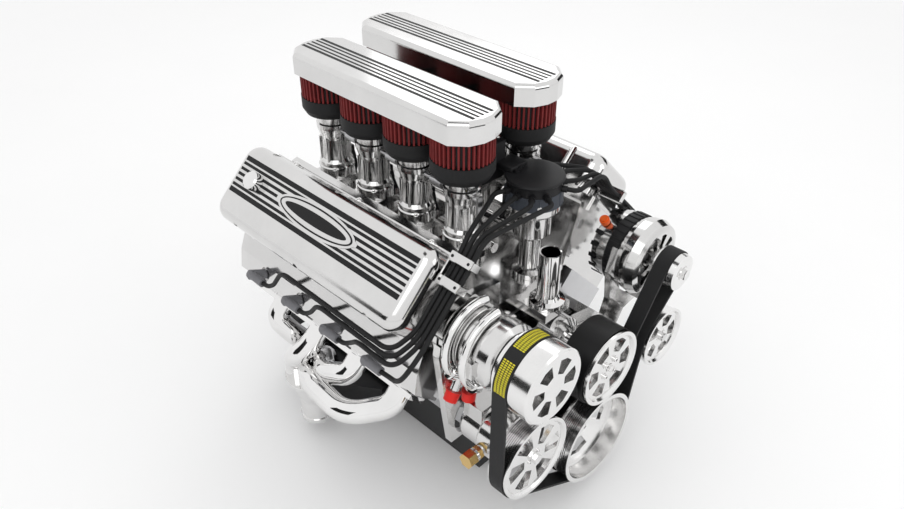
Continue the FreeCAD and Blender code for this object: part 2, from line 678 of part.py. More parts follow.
def cover_bolt_spots():
    """Bolt centres on the cover's flange, in the left bank's frame."""
    middle = head_front() + D.head_length / 2
    spots = []
    for across in (-D.rail_out + 1.5, D.rail_in - 1.5):
        for share in (-0.36, 0, 0.36):
            spots.append((across, middle + D.head_length * share, D.rail_height - 14))
    return spots


def valve_cover_bolts():
    bolts = []
    for side in BANKS:
        for across, along, up in cover_bolt_spots():
            seat = D.rail_height + D.seat_gap + D.cover_flange
            head = cylinder(5.5, 7, (across, along, seat))
            bolts.append(to_bank(group([head]), side))
    node("valve_cover_bolts", group(bolts))


def oil_filler_cap():
    crown = D.rail_height + D.seat_gap + D.cover_height
    centre = (D.rail_in - D.rail_out) / 2 + 12
    stem = D.filler_radius - 3 - D.running_gap
    cap = turned([(0, -8), (stem, -8), (stem, D.seat_gap), (D.filler_radius, D.seat_gap),
                  (D.filler_radius, D.filler_height - 3), (D.filler_radius - 3, D.filler_height), (0, D.filler_height)],
                 (0, 0, 0), "Z")
    return node("oil_filler_cap", place(cap, world("left", -centre, crown, -D.filler_station), BANK_TURN["left"]))


def valve_gear():
    """Lifters, pushrods, rockers, valves and springs for sixteen valves."""
    lifters, pushrods, rockers, valves, springs = [], [], [], [], []
    foot = D.cam_height * DIAGONAL + D.lobe_radius + D.lobe_lift + 1
    out = -D.cam_height * DIAGONAL
    for side in BANKS:
        for i, along in enumerate(lifter_stations()):
            lifters.append(cylinder(D.lifter_radius, D.lifter_length, world(side, out, foot, along), BANK_TURN[side]))
            seat = foot + D.lifter_length + D.seat_gap
            tip = as_size(TIP_UP) - D.seat_gap
            pushrods.append(cylinder(D.pushrod_radius, tip - seat, world(side, out, seat, along), BANK_TURN[side]))
            arm = box((-TIP_OUT - 7, along - 7, TIP_UP + 1.8), (-out + 7, along + 7, TIP_UP + 12))
            trunnion = cylinder(8, 22, (68, along - 11, TIP_UP + 6), "Y")
            stud = cylinder(5, TIP_UP + 4 - D.rocker_floor - D.seat_gap,
                            (68, along, D.rocker_floor + D.seat_gap))
            rockers.append(to_bank(fuse([arm, trunnion, stud]), side))
            radius = D.inlet_valve_radius if i % 2 else D.exhaust_valve_radius
            length = 104
            valve = turned([(0, 0), (D.valve_stem_radius, 0), (D.valve_stem_radius, length - 12),
                            (radius - 2, length - 3.5), (radius, length - 1.5), (radius, length), (0, length)])
            down = lean_turn(side) * TURNS["-Z"]
            valves.append(place(valve, valve_point(side, along, 0), down))
            spring = turned([(D.spring_radius - 4, 0), (D.spring_radius, 0), (D.spring_radius, D.spring_height - 4),
                             (D.spring_radius - 4, D.spring_height - 4)])
            springs.append(place(spring, valve_point(side, along, 3), down))
    node("lifters", group(lifters))
    node("pushrods", group(pushrods))
    node("rocker_arms", group(rockers))
    node("valves", group(valves))
    node("valve_springs", group(springs))


def pistons():
    """Eight hollow pistons, each standing at the height its throw gives it."""
    crown_radius = D.bore / 2 - D.piston_gap
    heights = []
    for side in BANKS:
        lean = 135 if side == "left" else 45
        for i in range(CYLINDERS_PER_BANK):
            pin = (135, 225, 45, 315)[i] if side == "left" else (315, 45, 225, 135)[i]
            swing = math.radians(pin - lean)
            throw = float(D.stroke) / 2
            rod = 157.5
            reach = throw * math.cos(swing) + math.sqrt(rod ** 2 - (throw * math.sin(swing)) ** 2)
            heights.append((side, i, reach + float(D.deck_height) - 0.6 - throw - rod))
    solids = []
    for side, i, crown_at in heights:
        wall = D.piston_wall
        height = D.piston_height
        blank = turned([(0, height - D.crown_thickness), (crown_radius - wall, height - D.crown_thickness),
                        (crown_radius - wall, 0), (crown_radius, 0), (crown_radius, height), (0, height)])
        solids.append(place(blank, world(side, 0, as_size(crown_at) - height, station(i)), BANK_TURN[side]))
    node("pistons", group(solids))


# ---------------------------------------------------------------- induction

BODY_BASE = D.stack_base + D.body_rise
BODY_TOP = D.stack_base + D.top_rise
COLLAR_TOP = D.stack_base + D.collar_rise
THROTTLE_HEIGHT = D.stack_base + D.shaft_rise
FILTER_TOP = D.stack_base + D.lid_rise
FILTER_COVER_TOP = D.stack_base + D.lid_top_rise
INLET_UP = (D.deck_height + D.rail_height - 16) / 2
FACE_MIDDLE = (D.head_width_in + D.rail_in) / 2


def row_side(side):
    return -1 if side == "left" else 1


def stack_spot(side, index):
    """Plan position of a throttle stack."""
    return row_side(side) * D.row_offset, world(side, 0, 0, station(index))[1]


def intake_manifold():
    """Valley cover with two port flanges, eight short runners and the water outlet nose."""
    normal = (-0.882, -0.472)
    deck = D.deck_height + D.seat_gap
    low = (-D.head_width_in, deck)
    high = (-D.rail_in, D.rail_height - 16)
    gap = D.seat_gap
    thick = D.manifold_thickness
    face = [(low[0] + gap * normal[0] - 1, low[1] + gap * normal[1] + 2),
            (high[0] + gap * normal[0] - 0.5, high[1] + gap * normal[1]),
            (high[0] + thick * normal[0], high[1] + thick * normal[1]),
            (low[0] + thick * normal[0], low[1] + thick * normal[1] + 2)]
    solids = []
    tools = []
    half = D.manifold_length / 2
    middle = -(D.block_length / 2)
    for side in BANKS:
        flange = slab(section(face), D.manifold_length, (0, middle + half, 0))
        solids.append(to_bank(flange, side))
        sign = row_side(side)
        for i in range(CYLINDERS_PER_BANK):
            x, y = stack_spot(side, i)
            height = D.stack_base - 290
            solids.append(cylinder(D.runner_radius, height, (x - sign * 4, y, 290)))
            solids.append(box((x - 36, y - 34, D.stack_base - 14), (x + 36, y + 34, D.stack_base)))
            tools.append(cylinder(D.throttle_bore, height, (x, y, 300)))
            arm = box((FACE_MIDDLE + D.manifold_thickness, -20, INLET_UP - 20), (D.rail_in + 14, 20, INLET_UP + 20))
            solids.append(place(group([arm]), world(side, 0, 0, station(i)), BANK_TURN[side]))
            port = box((20, -14, INLET_UP - 18), (D.rail_in + 20, 14, INLET_UP + 18))
            tools.append(place(group([port]), world(side, 0, 0, station(i)), BANK_TURN[side]))
    plate_top = D.valley_wall_height + 42
    solids.append(box((-94, -D.block_length + 3, plate_top - 14), (94, -3, plate_top)))
    for start, end in ((-D.block_length + 3, -D.block_length + 19), (-19, -3)):
        solids.append(box((-84, start, D.valley_wall_height + D.seat_gap), (84, end, plate_top - 10)))
    solids.append(box((-32, -D.block_length - 64, 216), (32, -D.block_length + 12, 233)))
    tools.append(cylinder(D.distributor_body_radius - 13.5, 100, (D.distributor_x, -D.distributor_y, 190)))
    node("intake_manifold", cut(fuse(solids), tools))


def throttle_bodies(side):
    """Four tall tapered bodies with a bolted foot, a clamped top flange and a filter collar."""
    bodies = []
    bore = D.throttle_bore
    foot = D.stack_base + D.seat_gap
    for i in range(CYLINDERS_PER_BANK):
        x, y = stack_spot(side, i)
        body = turned([
            (bore, foot), (D.body_flange_radius, foot), (D.body_flange_radius, BODY_BASE - 10),
            (D.body_radius + 4, BODY_BASE - 8), (D.body_radius + 4, BODY_BASE), (D.body_radius, BODY_BASE + 6),
            (D.body_radius - 1.5, THROTTLE_HEIGHT - 16), (D.body_radius, THROTTLE_HEIGHT - 8),
            (D.body_flange_radius - 2, BODY_TOP - 9), (D.body_flange_radius - 2, BODY_TOP),
            (D.body_radius + 1, BODY_TOP + 2), (D.body_radius + 1, COLLAR_TOP), (bore, COLLAR_TOP)], (x, y, 0))
        ears = [box((x - 31, y - 7, foot), (x + 31, y + 7, foot + 9)), box((x - 9, y - 31, THROTTLE_HEIGHT - 9),
                                                                         (x + 9, y + 31, THROTTLE_HEIGHT + 9))]
        ribs = []
        for k in range(8):
            turn = math.radians(45 * k + 22.5)
            reach = D.body_radius + 1.5
            ribs.append(cylinder(3.2, THROTTLE_HEIGHT - BODY_BASE - 12,
                                 (x + reach * math.cos(turn) - 2 * math.cos(turn),
                                  y + reach * math.sin(turn) - 2 * math.sin(turn), BODY_BASE)))
        solid = cut(fuse([body] + ears + ribs), [
            cylinder(bore, COLLAR_TOP - foot + 2, (x, y, foot - 1)),
            cylinder(D.throttle_shaft_radius + D.running_gap, 80, (x, y - 40, THROTTLE_HEIGHT), "Y")])
        bodies.append(solid)
    node(f"throttle_bodies_{side}", group(bodies))


def throttle_shaft(side):
    """A row's shaft with four butterfly plates, couplings between the bodies and an end lever."""
    x, first = stack_spot(side, 0)
    x, last = stack_spot(side, CYLINDERS_PER_BANK - 1)
    front, back = (first, last) if side == "left" else (last, first)
    front = front - 40
    back = back + 40
    shaft = cylinder(D.throttle_shaft_radius, back - front, (x, front, THROTTLE_HEIGHT), "Y")
    pieces = [shaft]
    for i in range(CYLINDERS_PER_BANK):
        x, y = stack_spot(side, i)
        pieces.append(cylinder(D.throttle_bore - 2 * D.running_gap, D.throttle_plate_thickness,
                               (x, y, THROTTLE_HEIGHT - D.throttle_plate_thickness / 2)))
        if i < CYLINDERS_PER_BANK - 1:
            step = D.bore_spacing / 2 if side == "left" else -D.bore_spacing / 2
            pieces.append(cylinder(9, 26, (x, y + step - 13, THROTTLE_HEIGHT), "Y"))
    lever_at = front if side == "left" else back - 4
    lever = box((x - 5, lever_at, THROTTLE_HEIGHT - 34), (x + 5, lever_at + 4, THROTTLE_HEIGHT + 8))
    pieces.append(lever)
    node(f"throttle_shaft_{side}", fuse(pieces))


def fuel_rails():
    rails = []
    for side in BANKS:
        sign = row_side(side)
        x, first = stack_spot(side, 0)
        x, last = stack_spot(side, CYLINDERS_PER_BANK - 1)
        front, back = (first, last) if side == "left" else (last, first)
        at = sign * (D.row_offset - 50)
        rail = cylinder(9, back - front + 60, (at, front - 30, 318), "Y")
        pieces = [rail]
        for i in range(CYLINDERS_PER_BANK):
            x, y = stack_spot(side, i)
            length = 50 - 4 - D.runner_radius - D.seat_gap
            pieces.append(cylinder(6, length, (at, y, 318), "-X" if side == "left" else "X"))
        rails.append(fuse(pieces))
    node("fuel_rails", group(rails))


def air_filters():
    """Eight round pleated elements on rubber bases, standing in the two long covers."""
    elements = []
    bases = []
    for side in BANKS:
        for i in range(CYLINDERS_PER_BANK):
            x, y = stack_spot(side, i)
            foot = COLLAR_TOP + D.filter_base_height
            elements.append(turned([(D.body_radius + 12, foot), (D.filter_radius - 1, foot),
                                    (D.filter_radius - 1, FILTER_COVER_TOP - 10),
                                    (D.body_radius + 12, FILTER_COVER_TOP - 10)], (x, y, 0)))
            inner = D.throttle_bore
            bases.append(turned([(D.body_radius + 1 + D.seat_gap, BODY_TOP + 14),
                                 (D.filter_radius - 6, BODY_TOP + 22), (D.filter_radius, COLLAR_TOP),
                                 (D.filter_radius, foot - D.seat_gap), (inner, foot - D.seat_gap),
                                 (inner, COLLAR_TOP + D.seat_gap),
                                 (D.body_radius + 1 + D.seat_gap, COLLAR_TOP + D.seat_gap)], (x, y, 0)))
    node("air_filters", group(elements))
    node("filter_bases", group(bases))


def filter_covers():
    """Two long hollow lids with clipped corners, rounded upper edges and grooved tops."""
    covers = []
    wide = D.filter_cover_half_width
    bottom = FILTER_TOP + 1
    for side in BANKS:
        x, first = stack_spot(side, 0)
        x, last = stack_spot(side, CYLINDERS_PER_BANK - 1)
        front, back = (first, last) if side == "left" else (last, first)
        front = front - wide
        back = back + wide

        def plan(inset):
            half = wide - inset
            near = front + inset
            far = back - inset
            return [(x - half, near + 34), (x - half * 0.62, near + 9), (x - half * 0.2, near),
                    (x + half * 0.2, near), (x + half * 0.62, near + 9), (x + half, near + 34),
                    (x + half, far - 34), (x + half * 0.62, far - 9), (x + half * 0.2, far),
                    (x - half * 0.2, far), (x - half * 0.62, far - 9), (x - half, far - 34)]

        top = float(FILTER_COVER_TOP)
        lid = slab(plan(0), FILTER_COVER_TOP - bottom, (0, 0, bottom), "XY_Plane")
        lid = rounded(lid, 9, lambda edge: edge.BoundBox.ZMin > top - 0.01)
        hollow = slab(plan(3), FILTER_COVER_TOP - 9.5 - bottom, (0, 0, bottom - 0.2), "XY_Plane")
        tools = [hollow]
        for k in range(5):
            spot = x + (k - 2) * 10
            wide_groove = 3.4 if k in (0, 4) else 2.4
            tools.append(box((spot - wide_groove, front + 14, top - 3), (spot + wide_groove, back - 14, top + 1)))
        covers.append(cut(lid, tools))
    node("filter_covers", group(covers))


# ---------------------------------------------------------------- front of the engine

def timing_cover():
    """Hollow cover over the chain, with a hole that the crankshaft's nose runs in."""
    rear = -D.block_length - D.seat_gap
    depth = D.timing_cover_front - D.block_length - D.seat_gap

    def shape(inset):
        return [(-84 + inset, -50 + inset), (84 - inset, -50 + inset), (84 - inset, 150),
                (52 - inset, 200 - inset), (-52 + inset, 200 - inset), (-84 + inset, 150)]

    outer = slab(shape(0), depth, (0, rear, 0))
    lip = slab([(x * 1.1, z + (z - 78) * 0.05) for x, z in shape(0)], 8, (0, rear, 0))
    inner = slab(shape(6), depth - 6, (0, rear + 1, 0))
    nose = cylinder(D.nose_radius + D.running_gap, depth + 20, (0, rear + 5, 0), "-Y")
    hub = cylinder(34, 10, (0, -D.timing_cover_front + 2, 0), "-Y")
    node("timing_cover", cut(fuse([outer, lip, hub]), [inner, nose]))


def harmonic_damper():
    """Damper with a hub on the crankshaft's nose, an outer ring and a bolt face for the pulley."""
    width = D.damper_front - D.damper_rear
    node("harmonic_damper", turned([
        (D.nose_radius, 0), (32, 0), (32, 14), (D.damper_radius - 22, 14), (D.damper_radius - 22, 0),
        (D.damper_radius, 0), (D.damper_radius, width - 4), (D.damper_radius - 22, width - 4),
        (D.damper_radius - 24, width - 14), (40, width - 14), (40, width), (D.nose_radius, width)],
        (0, -D.damper_rear, 0), "-Y"))


def windows(body, count, inner, outer, share, corner=None):
    """Cuts evenly spaced openings through a wheel's web."""
    half = math.pi / count * share
    sketch = outline(body, "XY_Plane", [
        (inner * math.cos(half), -inner * math.sin(half)), (outer * math.cos(half), -outer * math.sin(half)),
        (outer * 1.03, 0), (outer * math.cos(half), outer * math.sin(half)), (inner * math.cos(half), inner * math.sin(half))])
    pocket = body.newObject("PartDesign::Pocket", "Window")
    pocket.Profile = sketch
    pocket.Type = "ThroughAll"
    pocket.Midplane = True
    pattern = body.newObject("PartDesign::PolarPattern", "Ring")
    pattern.Originals = [pocket]
    pattern.Axis = (sketch, ["N_Axis"])
    pattern.Angle = 360
    pattern.Occurrences = count
    body.Tip = pattern
    return body


def crank_pulley():
    """Deep open dish: belt track outside, recessed web bolted to the damper."""
    radius = D.crank_pulley_radius
    depth = D.crank_pulley_face - D.damper_front
    rear = D.belt_plane - D.belt_width / 2 - D.damper_front - 4
    front = rear + D.belt_width + 8
    body = turned([
        (D.nose_radius + 3, 0), (40, 0), (40, 8), (radius - 12, rear + 2), (radius + 3, rear), (radius + 3, rear + 3),
        (radius, rear + 4), (radius, front - 4), (radius + 3, front - 3), (radius + 3, depth), (radius - 5, depth),
        (radius - 8, rear + 10), (40, 16), (D.nose_radius + 3, 16)], (0, -D.damper_front, 0), "-Y")
    node("crank_pulley", windows(body, 4, 46, 64, 0.5))


def front_wheel(name, x, z, radius, face, bore, hub, back, spokes, web_at, lip=3):
    """A spoked pulley; web_at is the web's distance behind the face."""
    depth = face - back
    track_rear = D.belt_plane - D.belt_width / 2 - back - 1
    track_front = track_rear + D.belt_width + 2
    body = turned([
        (bore, 0), (hub, 0), (hub, depth - web_at - 8), (radius - 10, depth - web_at - 8),
        (radius - 9, track_rear - 3), (radius + lip, track_rear - 3), (radius + lip, track_rear),
        (radius, track_rear + 1), (radius, track_front - 1), (radius + lip, track_front),
        (radius + lip, depth), (radius - 3, depth), (radius - 6, depth - web_at), (bore, depth - web_at)],
        (x, -back, z), "-Y")
    return node(name, windows(body, spokes, hub + 5, radius - 13, 0.62))


def water_pump():
    z = D.pump_height
    cover = D.timing_cover_front + D.seat_gap
    front = D.pump_front
    shell = turned([(0, 0), (42, 0), (42, 34), (30, 44), (24, 48), (24, front - cover), (0, front - cover)],
                   (0, -cover, z), "-Y")
    foot = D.block_length + D.seat_gap
    legs = []
    for sign in (-1, 1):
        centre = sign * 107
        legs.append(box((centre - 13, -cover - 26, 118), (centre + 13, -foot, 158)))
    arm = slab([(-120, 118), (120, 118), (120, 158), (30, 178), (-30, 178), (-120, 158)], 24, (0, -cover - 2, 0))
    inlet = cylinder(19, 70, (40, -cover - 22, 140), "X")
    tools = [cylinder(36, 24, (0, -cover - 6, z), "-Y"), cylinder(8 + D.running_gap, 120, (0, -cover - 4, z), "-Y")]
    node("water_pump_housing", cut(fuse([shell, arm, inlet] + legs), tools))
    shaft_rear = cover + 8
    rotor = turned([(0, 0), (34, 0), (34, 6), (12, 6), (12, 22), (8, 22), (8, front + 14 - shaft_rear),
                    (0, front + 14 - shaft_rear)], (0, -shaft_rear, z), "-Y")
    vanes = []
    for k in range(6):
        vane = box((10, -shaft_rear - 16, -1.5), (32, -shaft_rear - 4, 1.5))
        vanes.append(place(group([vane]), (0, 0, z), Rotation(Vector(0, 1, 0), 60 * k)))
    node("water_pump_rotor", fuse([rotor] + vanes))
    radius = D.pump_pulley_radius
    rear = front + 4
    depth = D.pump_pulley_face - rear
    body = turned([
        (8, 0), (26, 0), (26, depth - 12), (radius - 6, depth - 12), (radius - 6, 3), (radius + 2.5, 3),
        (radius + 2.5, 6), (radius, 7), (radius, depth - 4), (radius + 1.5, depth - 3), (radius + 1.5, depth),
        (radius - 5, depth), (radius - 8, depth - 5), (8, depth - 5)], (0, -rear, z), "-Y")
    node("water_pump_pulley", windows(body, 6, 32, radius - 14, 0.62))


def thermostat_housing():
    """Upright coolant neck on the manifold's nose."""
    neck = D.water_neck_radius
    foot = 233 + D.seat_gap
    node("thermostat_housing", turned([
        (neck - 2.5, foot), (31, foot), (31, foot + 9), (neck + 3, foot + 12), (neck, foot + 18),
        (neck, D.water_neck_top), (neck - 2.5, D.water_neck_top)], (0, -D.block_length - 39, 0)))


def alternator():
    x, z = D.alternator_x, D.alternator_z
    rear = 545
    stack_rear, stack_front, front = 582, 606, 650
    housing_rear = turned([(10 + D.running_gap, 0), (50, 0), (62, 8), (64, 20), (66, stack_rear - rear - D.seat_gap),
                           (54, stack_rear - rear - D.seat_gap), (54, 8), (10 + D.running_gap, 8)],
                          (x, -rear, z), "-Y")
    housing_front = turned([(54, 0), (66, 0), (70, 10), (72, 26), (66, front - stack_front - 4),
                            (56, front - stack_front), (8.5 + D.running_gap, front - stack_front),
                            (8.5 + D.running_gap, front - stack_front - 8), (52, front - stack_front - 8), (54, 20)],
                           (x, -stack_front - D.seat_gap, z), "-Y")
    housing_front = windows(housing_front, 10, 24, 50, 0.5)
    ear = box((x - 12, -stack_front - 40, z - 88), (x + 12, -stack_front - 16.3, z - 62))
    node("alternator_housing", group([housing_rear, cut(fuse([housing_front, ear]), [
        cylinder(5, 80, (x, -stack_front - 60, z - 79), "Y"), cylinder(54, 20, (x, -stack_front + 2, z), "-Y")])]))
    node("alternator_stator", turned([(49, 0), (67, 0), (67, stack_front - stack_rear - D.seat_gap),
                                      (49, stack_front - stack_rear - D.seat_gap)], (x, -stack_rear, z), "-Y"))
    rotor_rear = rear + 2
    length = D.alternator_pulley_face - 6 - rotor_rear
    node("alternator_rotor", turned([
        (0, 0), (10, 0), (10, 10), (14, 14), (47, 30), (47, 66), (44, 70), (44, 82), (14, 86), (8.5, 92), (8.5, length),
        (0, length)], (x, -rotor_rear, z), "-Y"))
    pulley_rear = 656
    depth = D.alternator_pulley_face - pulley_rear
    radius = D.alternator_pulley_radius
    rear_track = D.belt_plane - D.belt_width / 2 - pulley_rear - 1
    node("alternator_pulley", turned([
        (8.5, 0), (20, 0), (24, rear_track - 3), (radius + 2.5, rear_track - 3), (radius + 2.5, rear_track),
        (radius, rear_track + 1), (radius, rear_track + D.belt_width + 1), (radius + 2.5, rear_track + D.belt_width + 2),
        (radius + 1, depth), (radius - 8, depth + 2), (8.5, depth + 2)], (x, -pulley_rear, z), "-Y"))


def compressor():
    """Finned compressor with a snout for its pulley and two capped line fittings."""
    x, z = -D.compressor_x, D.compressor_z
    rear = (D.block_length + D.head_length) / 2 + 5
    profile = [(0, 0), (44, 0), (54, 6)]
    for start in (12, 25):
        profile += [(56, start), (56, start + 8), (51, start + 9), (51, start + 12)]
    profile += [(58, 38), (58, 64)]
    for start in (68, 81):
        profile += [(51, start - 3), (51, start), (56, start + 1), (56, start + 9)]
    profile += [(51, 91), (51, 95), (58, 96), (58, 121), (50, 129), (24, 131), (24, 132.5), (20, 133), (20, 162), (0, 162)]
    ear = box((x - 64, -rear - 104, z - 16), (x - 40, -rear - 84, z + 16))
    shell = turned(profile, (x, -rear, z), "-Y")
    bosses = []
    pieces = []
    for at, aim, length in (((x - 31, -rear - 51, z - 53), Vector(-0.5, 0, -0.86), 34),
                            ((x - 7, -rear - 51, z - 61), Vector(-0.12, 0, -1), 46)):
        turn = Rotation(Vector(0, 0, 1), aim)
        root = Vector(*[float(part) for part in at]) - aim.normalize() * (18 + float(D.seat_gap))
        bosses.append(cylinder(12, 18, root, turn))
        pieces.append(place(turned([(0, 0), (11, 0), (11, 6), (8, 8), (8, length), (0, length)]), at, turn))
        tip = Vector(*[float(part) for part in at]) + aim.normalize() * (length + float(D.seat_gap))
        pieces.append(cylinder(11.5, 17, tip, turn))
    node("ac_compressor", fuse([shell, ear] + bosses))
    node("ac_lines", group(pieces))
    radius = D.compressor_pulley_radius
    back = 652
    depth = D.compressor_pulley_face - back
    rear_track = D.belt_plane - D.belt_width / 2 - back - 1
    bore = 20 + D.running_gap
    body = turned([
        (bore, 0), (radius - 6, 0), (radius - 6, 6), (radius + 2.5, 8), (radius + 2.5, rear_track), (radius, rear_track + 1),
        (radius, rear_track + D.belt_width + 1), (radius + 4, rear_track + D.belt_width + 2), (radius + 4, depth - 3),
        (radius + 1, depth), (0, depth), (0, depth - 9), (radius - 6, depth - 12), (radius - 6, 34), (bore, 34)],
        (x, -back, z), "-Y")
    node("ac_pulley", windows_front(body, 6, 24, radius - 12, 0.6, depth))


def windows_front(body, count, inner, outer, share, depth):
    """Openings through the front web only, cut from the face backwards."""
    half = math.pi / count * share
    sketch = outline(body, "XY_Plane", [
        (inner * math.cos(half), -inner * math.sin(half)), (outer * math.cos(half), -outer * math.sin(half)),
        (outer * 1.03, 0), (outer * math.cos(half), outer * math.sin(half)), (inner * math.cos(half), inner * math.sin(half))])
    sketch.AttachmentOffset = Placement(Vector(0, 0, float(depth) + 1), Rotation())
    pocket = body.newObject("PartDesign::Pocket", "Window")
    pocket.Profile = sketch
    pocket.Type = "Length"
    pocket.Length = 24
    pattern = body.newObject("PartDesign::PolarPattern", "Ring")
    pattern.Originals = [pocket]
    pattern.Axis = (sketch, ["N_Axis"])
    pattern.Angle = 360
    pattern.Occurrences = count
    body.Tip = pattern
    return body


def steering_pump():
    x, z = -D.steering_x, D.steering_z
    rear = 556
    shell = turned([(0, 0), (34, 0), (40, 8), (40, 44), (46, 50), (46, 74), (30, 84), (18, 90), (0, 90)],
                   (x, -rear, z), "-Y")
    reservoir = box((x - 30, -rear - 46, z + 20), (x + 30, -rear - 6, z + 58))
    fitting = cylinder(9, 42, (x - 36, -rear - 60, z - 8), "-X")
    hexagon = cylinder(12, 14, (x - 58, -rear - 60, z - 8), "-X")
    shaft = cylinder(9, 24, (x, -rear - 88, z), "-Y")
    node("ps_pump", fuse([shell, reservoir, fitting, hexagon, shaft]))
    front_wheel("ps_pulley", x, z, D.steering_pulley_radius, D.steering_pulley_face, D.running_gap + 9,
                22, rear + 94, 6, 4)


def tensioner():
    """Sprung arm that holds the idler against the belt's back."""
    x, z = D.idler_x, D.idler_z
    pivot_x, pivot_z = x - 28, z - 73
    plane = 640
    arm = fuse([cylinder(18, 12, (pivot_x, -plane, pivot_z), "-Y"), cylinder(16, 12, (x, -plane, z), "-Y"),
                slab([(pivot_x - 15, pivot_z + 4), (pivot_x + 15, pivot_z - 4), (x + 14, z - 3), (x - 14, z + 3)], 12,
                     (0, -plane, 0)),
                cylinder(8, 50, (x, -plane - 10, z), "-Y")])
    node("tensioner_arm", cut(arm, [cylinder(8 + D.running_gap, 40, (pivot_x, -plane + 10, pivot_z), "-Y")]))
    front_wheel("idler_pulley", x, z, D.idler_radius, D.idler_face, 8 + D.running_gap, 18, plane + 14,
                5, 5, lip=2)


def accessory_brackets():
    """Billet plates that carry the accessories on the heads and the block."""
    head_face = (D.block_length + D.head_length) / 2 + D.seat_gap
    x, z = -D.compressor_x, D.compressor_z
    px, pz = -D.steering_x, D.steering_z
    plane = 536
    left = slab([(px - 48, pz - 40), (px + 30, pz - 40), (-96, 60), (-96, 112), (-124, 114), (-124, 164),
                 (-100, 170), (-112, 240), (-112, 330),
                 (x + 10, z + 66), (x - 50, z + 50), (x - 62, z - 20), (px - 58, pz + 30)], 14, (0, -plane, 0))
    left = cut(left, [cylinder(58.4, 60, (x, -plane + 20, z), "-Y"), cylinder(40.4, 60, (px, -plane + 20, pz), "-Y")])
    posts = [cylinder(9, plane - D.block_length - D.seat_gap, (-112, -D.block_length - D.seat_gap, 70), "-Y"),
             cylinder(9, plane - D.block_length - D.seat_gap, (-128, -D.block_length - D.seat_gap, 186), "-Y")]
    left = fuse([left] + posts)
    ax, az = D.alternator_x, D.alternator_z
    right = slab([(ax - 20, az - 96), (ax + 22, az - 92), (ax + 22, az - 75), (ax - 22, az - 79), (ax - 62, az - 44),
                  (ax - 78, az), (ax - 70, az + 44), (ax - 84, az + 52), (ax - 98, az + 6), (ax - 90, az - 54),
                  (ax - 100, az - 84), (112, 130), (112, 66), (pivot_at()[0] - 14, pivot_at()[1] - 18),
                  (pivot_at()[0] + 18, pivot_at()[1] - 10), (pivot_at()[0] + 16, pivot_at()[1] + 18), (132, 100),
                  (132, 140), (ax - 40, az - 100)], 12, (0, -(plane + 74), 0))
    post_start = D.block_length + D.seat_gap
    right_posts = [cylinder(9, plane + 74 - post_start + 4, (124, -post_start, 92), "-Y")]
    pin = cylinder(8, 44, (pivot_at()[0], -(plane + 74), pivot_at()[1]), "-Y")
    stop = cylinder(4.9, 44, (ax, -(plane + 74), az - 79), "-Y")
    right = fuse([right, pin] + right_posts)
    node("accessory_brackets", group([left, right]))


def pivot_at():
    return D.idler_x - 28, D.idler_z - 73


def serpentine_belt():
    wheels = [
        (0, 0, float(D.crank_pulley_radius), 1),
        (-float(D.steering_x), float(D.steering_z), float(D.steering_pulley_radius), 1),
        (-float(D.compressor_x), float(D.compressor_z), float(D.compressor_pulley_radius), 1),
        (0, float(D.pump_height), float(D.pump_pulley_radius), -1),
        (float(D.alternator_x), float(D.alternator_z), float(D.alternator_pulley_radius), 1),
        (float(D.idler_x), float(D.idler_z), float(D.idler_radius), -1)]
    plane = -float(D.belt_plane) + float(D.belt_width) / 2
    band = loop_band(wheels, 0.3, float(D.belt_thickness), float(D.belt_width), plane)
    node("serpentine_belt", computed(band))


# ---------------------------------------------------------------- ignition

def tube(points, radius):
    """A round tube along straight runs joined by arcs as large as the runs allow."""
    edges = []
    here = points[0]
    for i in range(1, len(points) - 1):
        corner = points[i]
        to_last = points[i - 1] - corner
        to_next = points[i + 1] - corner
        angle = to_last.getAngle(to_next)
        half_turn = (math.pi - angle) / 2
        reach = 0.45 * min(to_last.Length, to_next.Length)
        enter = corner + to_last.normalize() * reach
        leave = corner + to_next.normalize() * reach
        bisector = (to_last + to_next).normalize()
        bend = reach / math.tan(half_turn)
        middle = corner + bisector * (math.hypot(reach, bend) - bend)
        edges.append(Part.LineSegment(here, enter).toShape())
        edges.append(Part.Arc(enter, middle, leave).toShape())
        here = leave
    edges.append(Part.LineSegment(here, points[-1]).toShape())
    path = Part.Wire(edges)
    start = points[0]
    circle = Part.Wire(Part.Circle(start, edges[0].tangentAt(edges[0].FirstParameter), radius).toShape())
    return path.makePipeShell([circle], True, False)


TOWER_RISE = 28


def tower_angle(side, rank):
    """Direction of a terminal on the cap, from the rear to the front of each side."""
    angle = 20 - 28 * rank
    return math.radians(angle if side == "right" else 180 - angle)


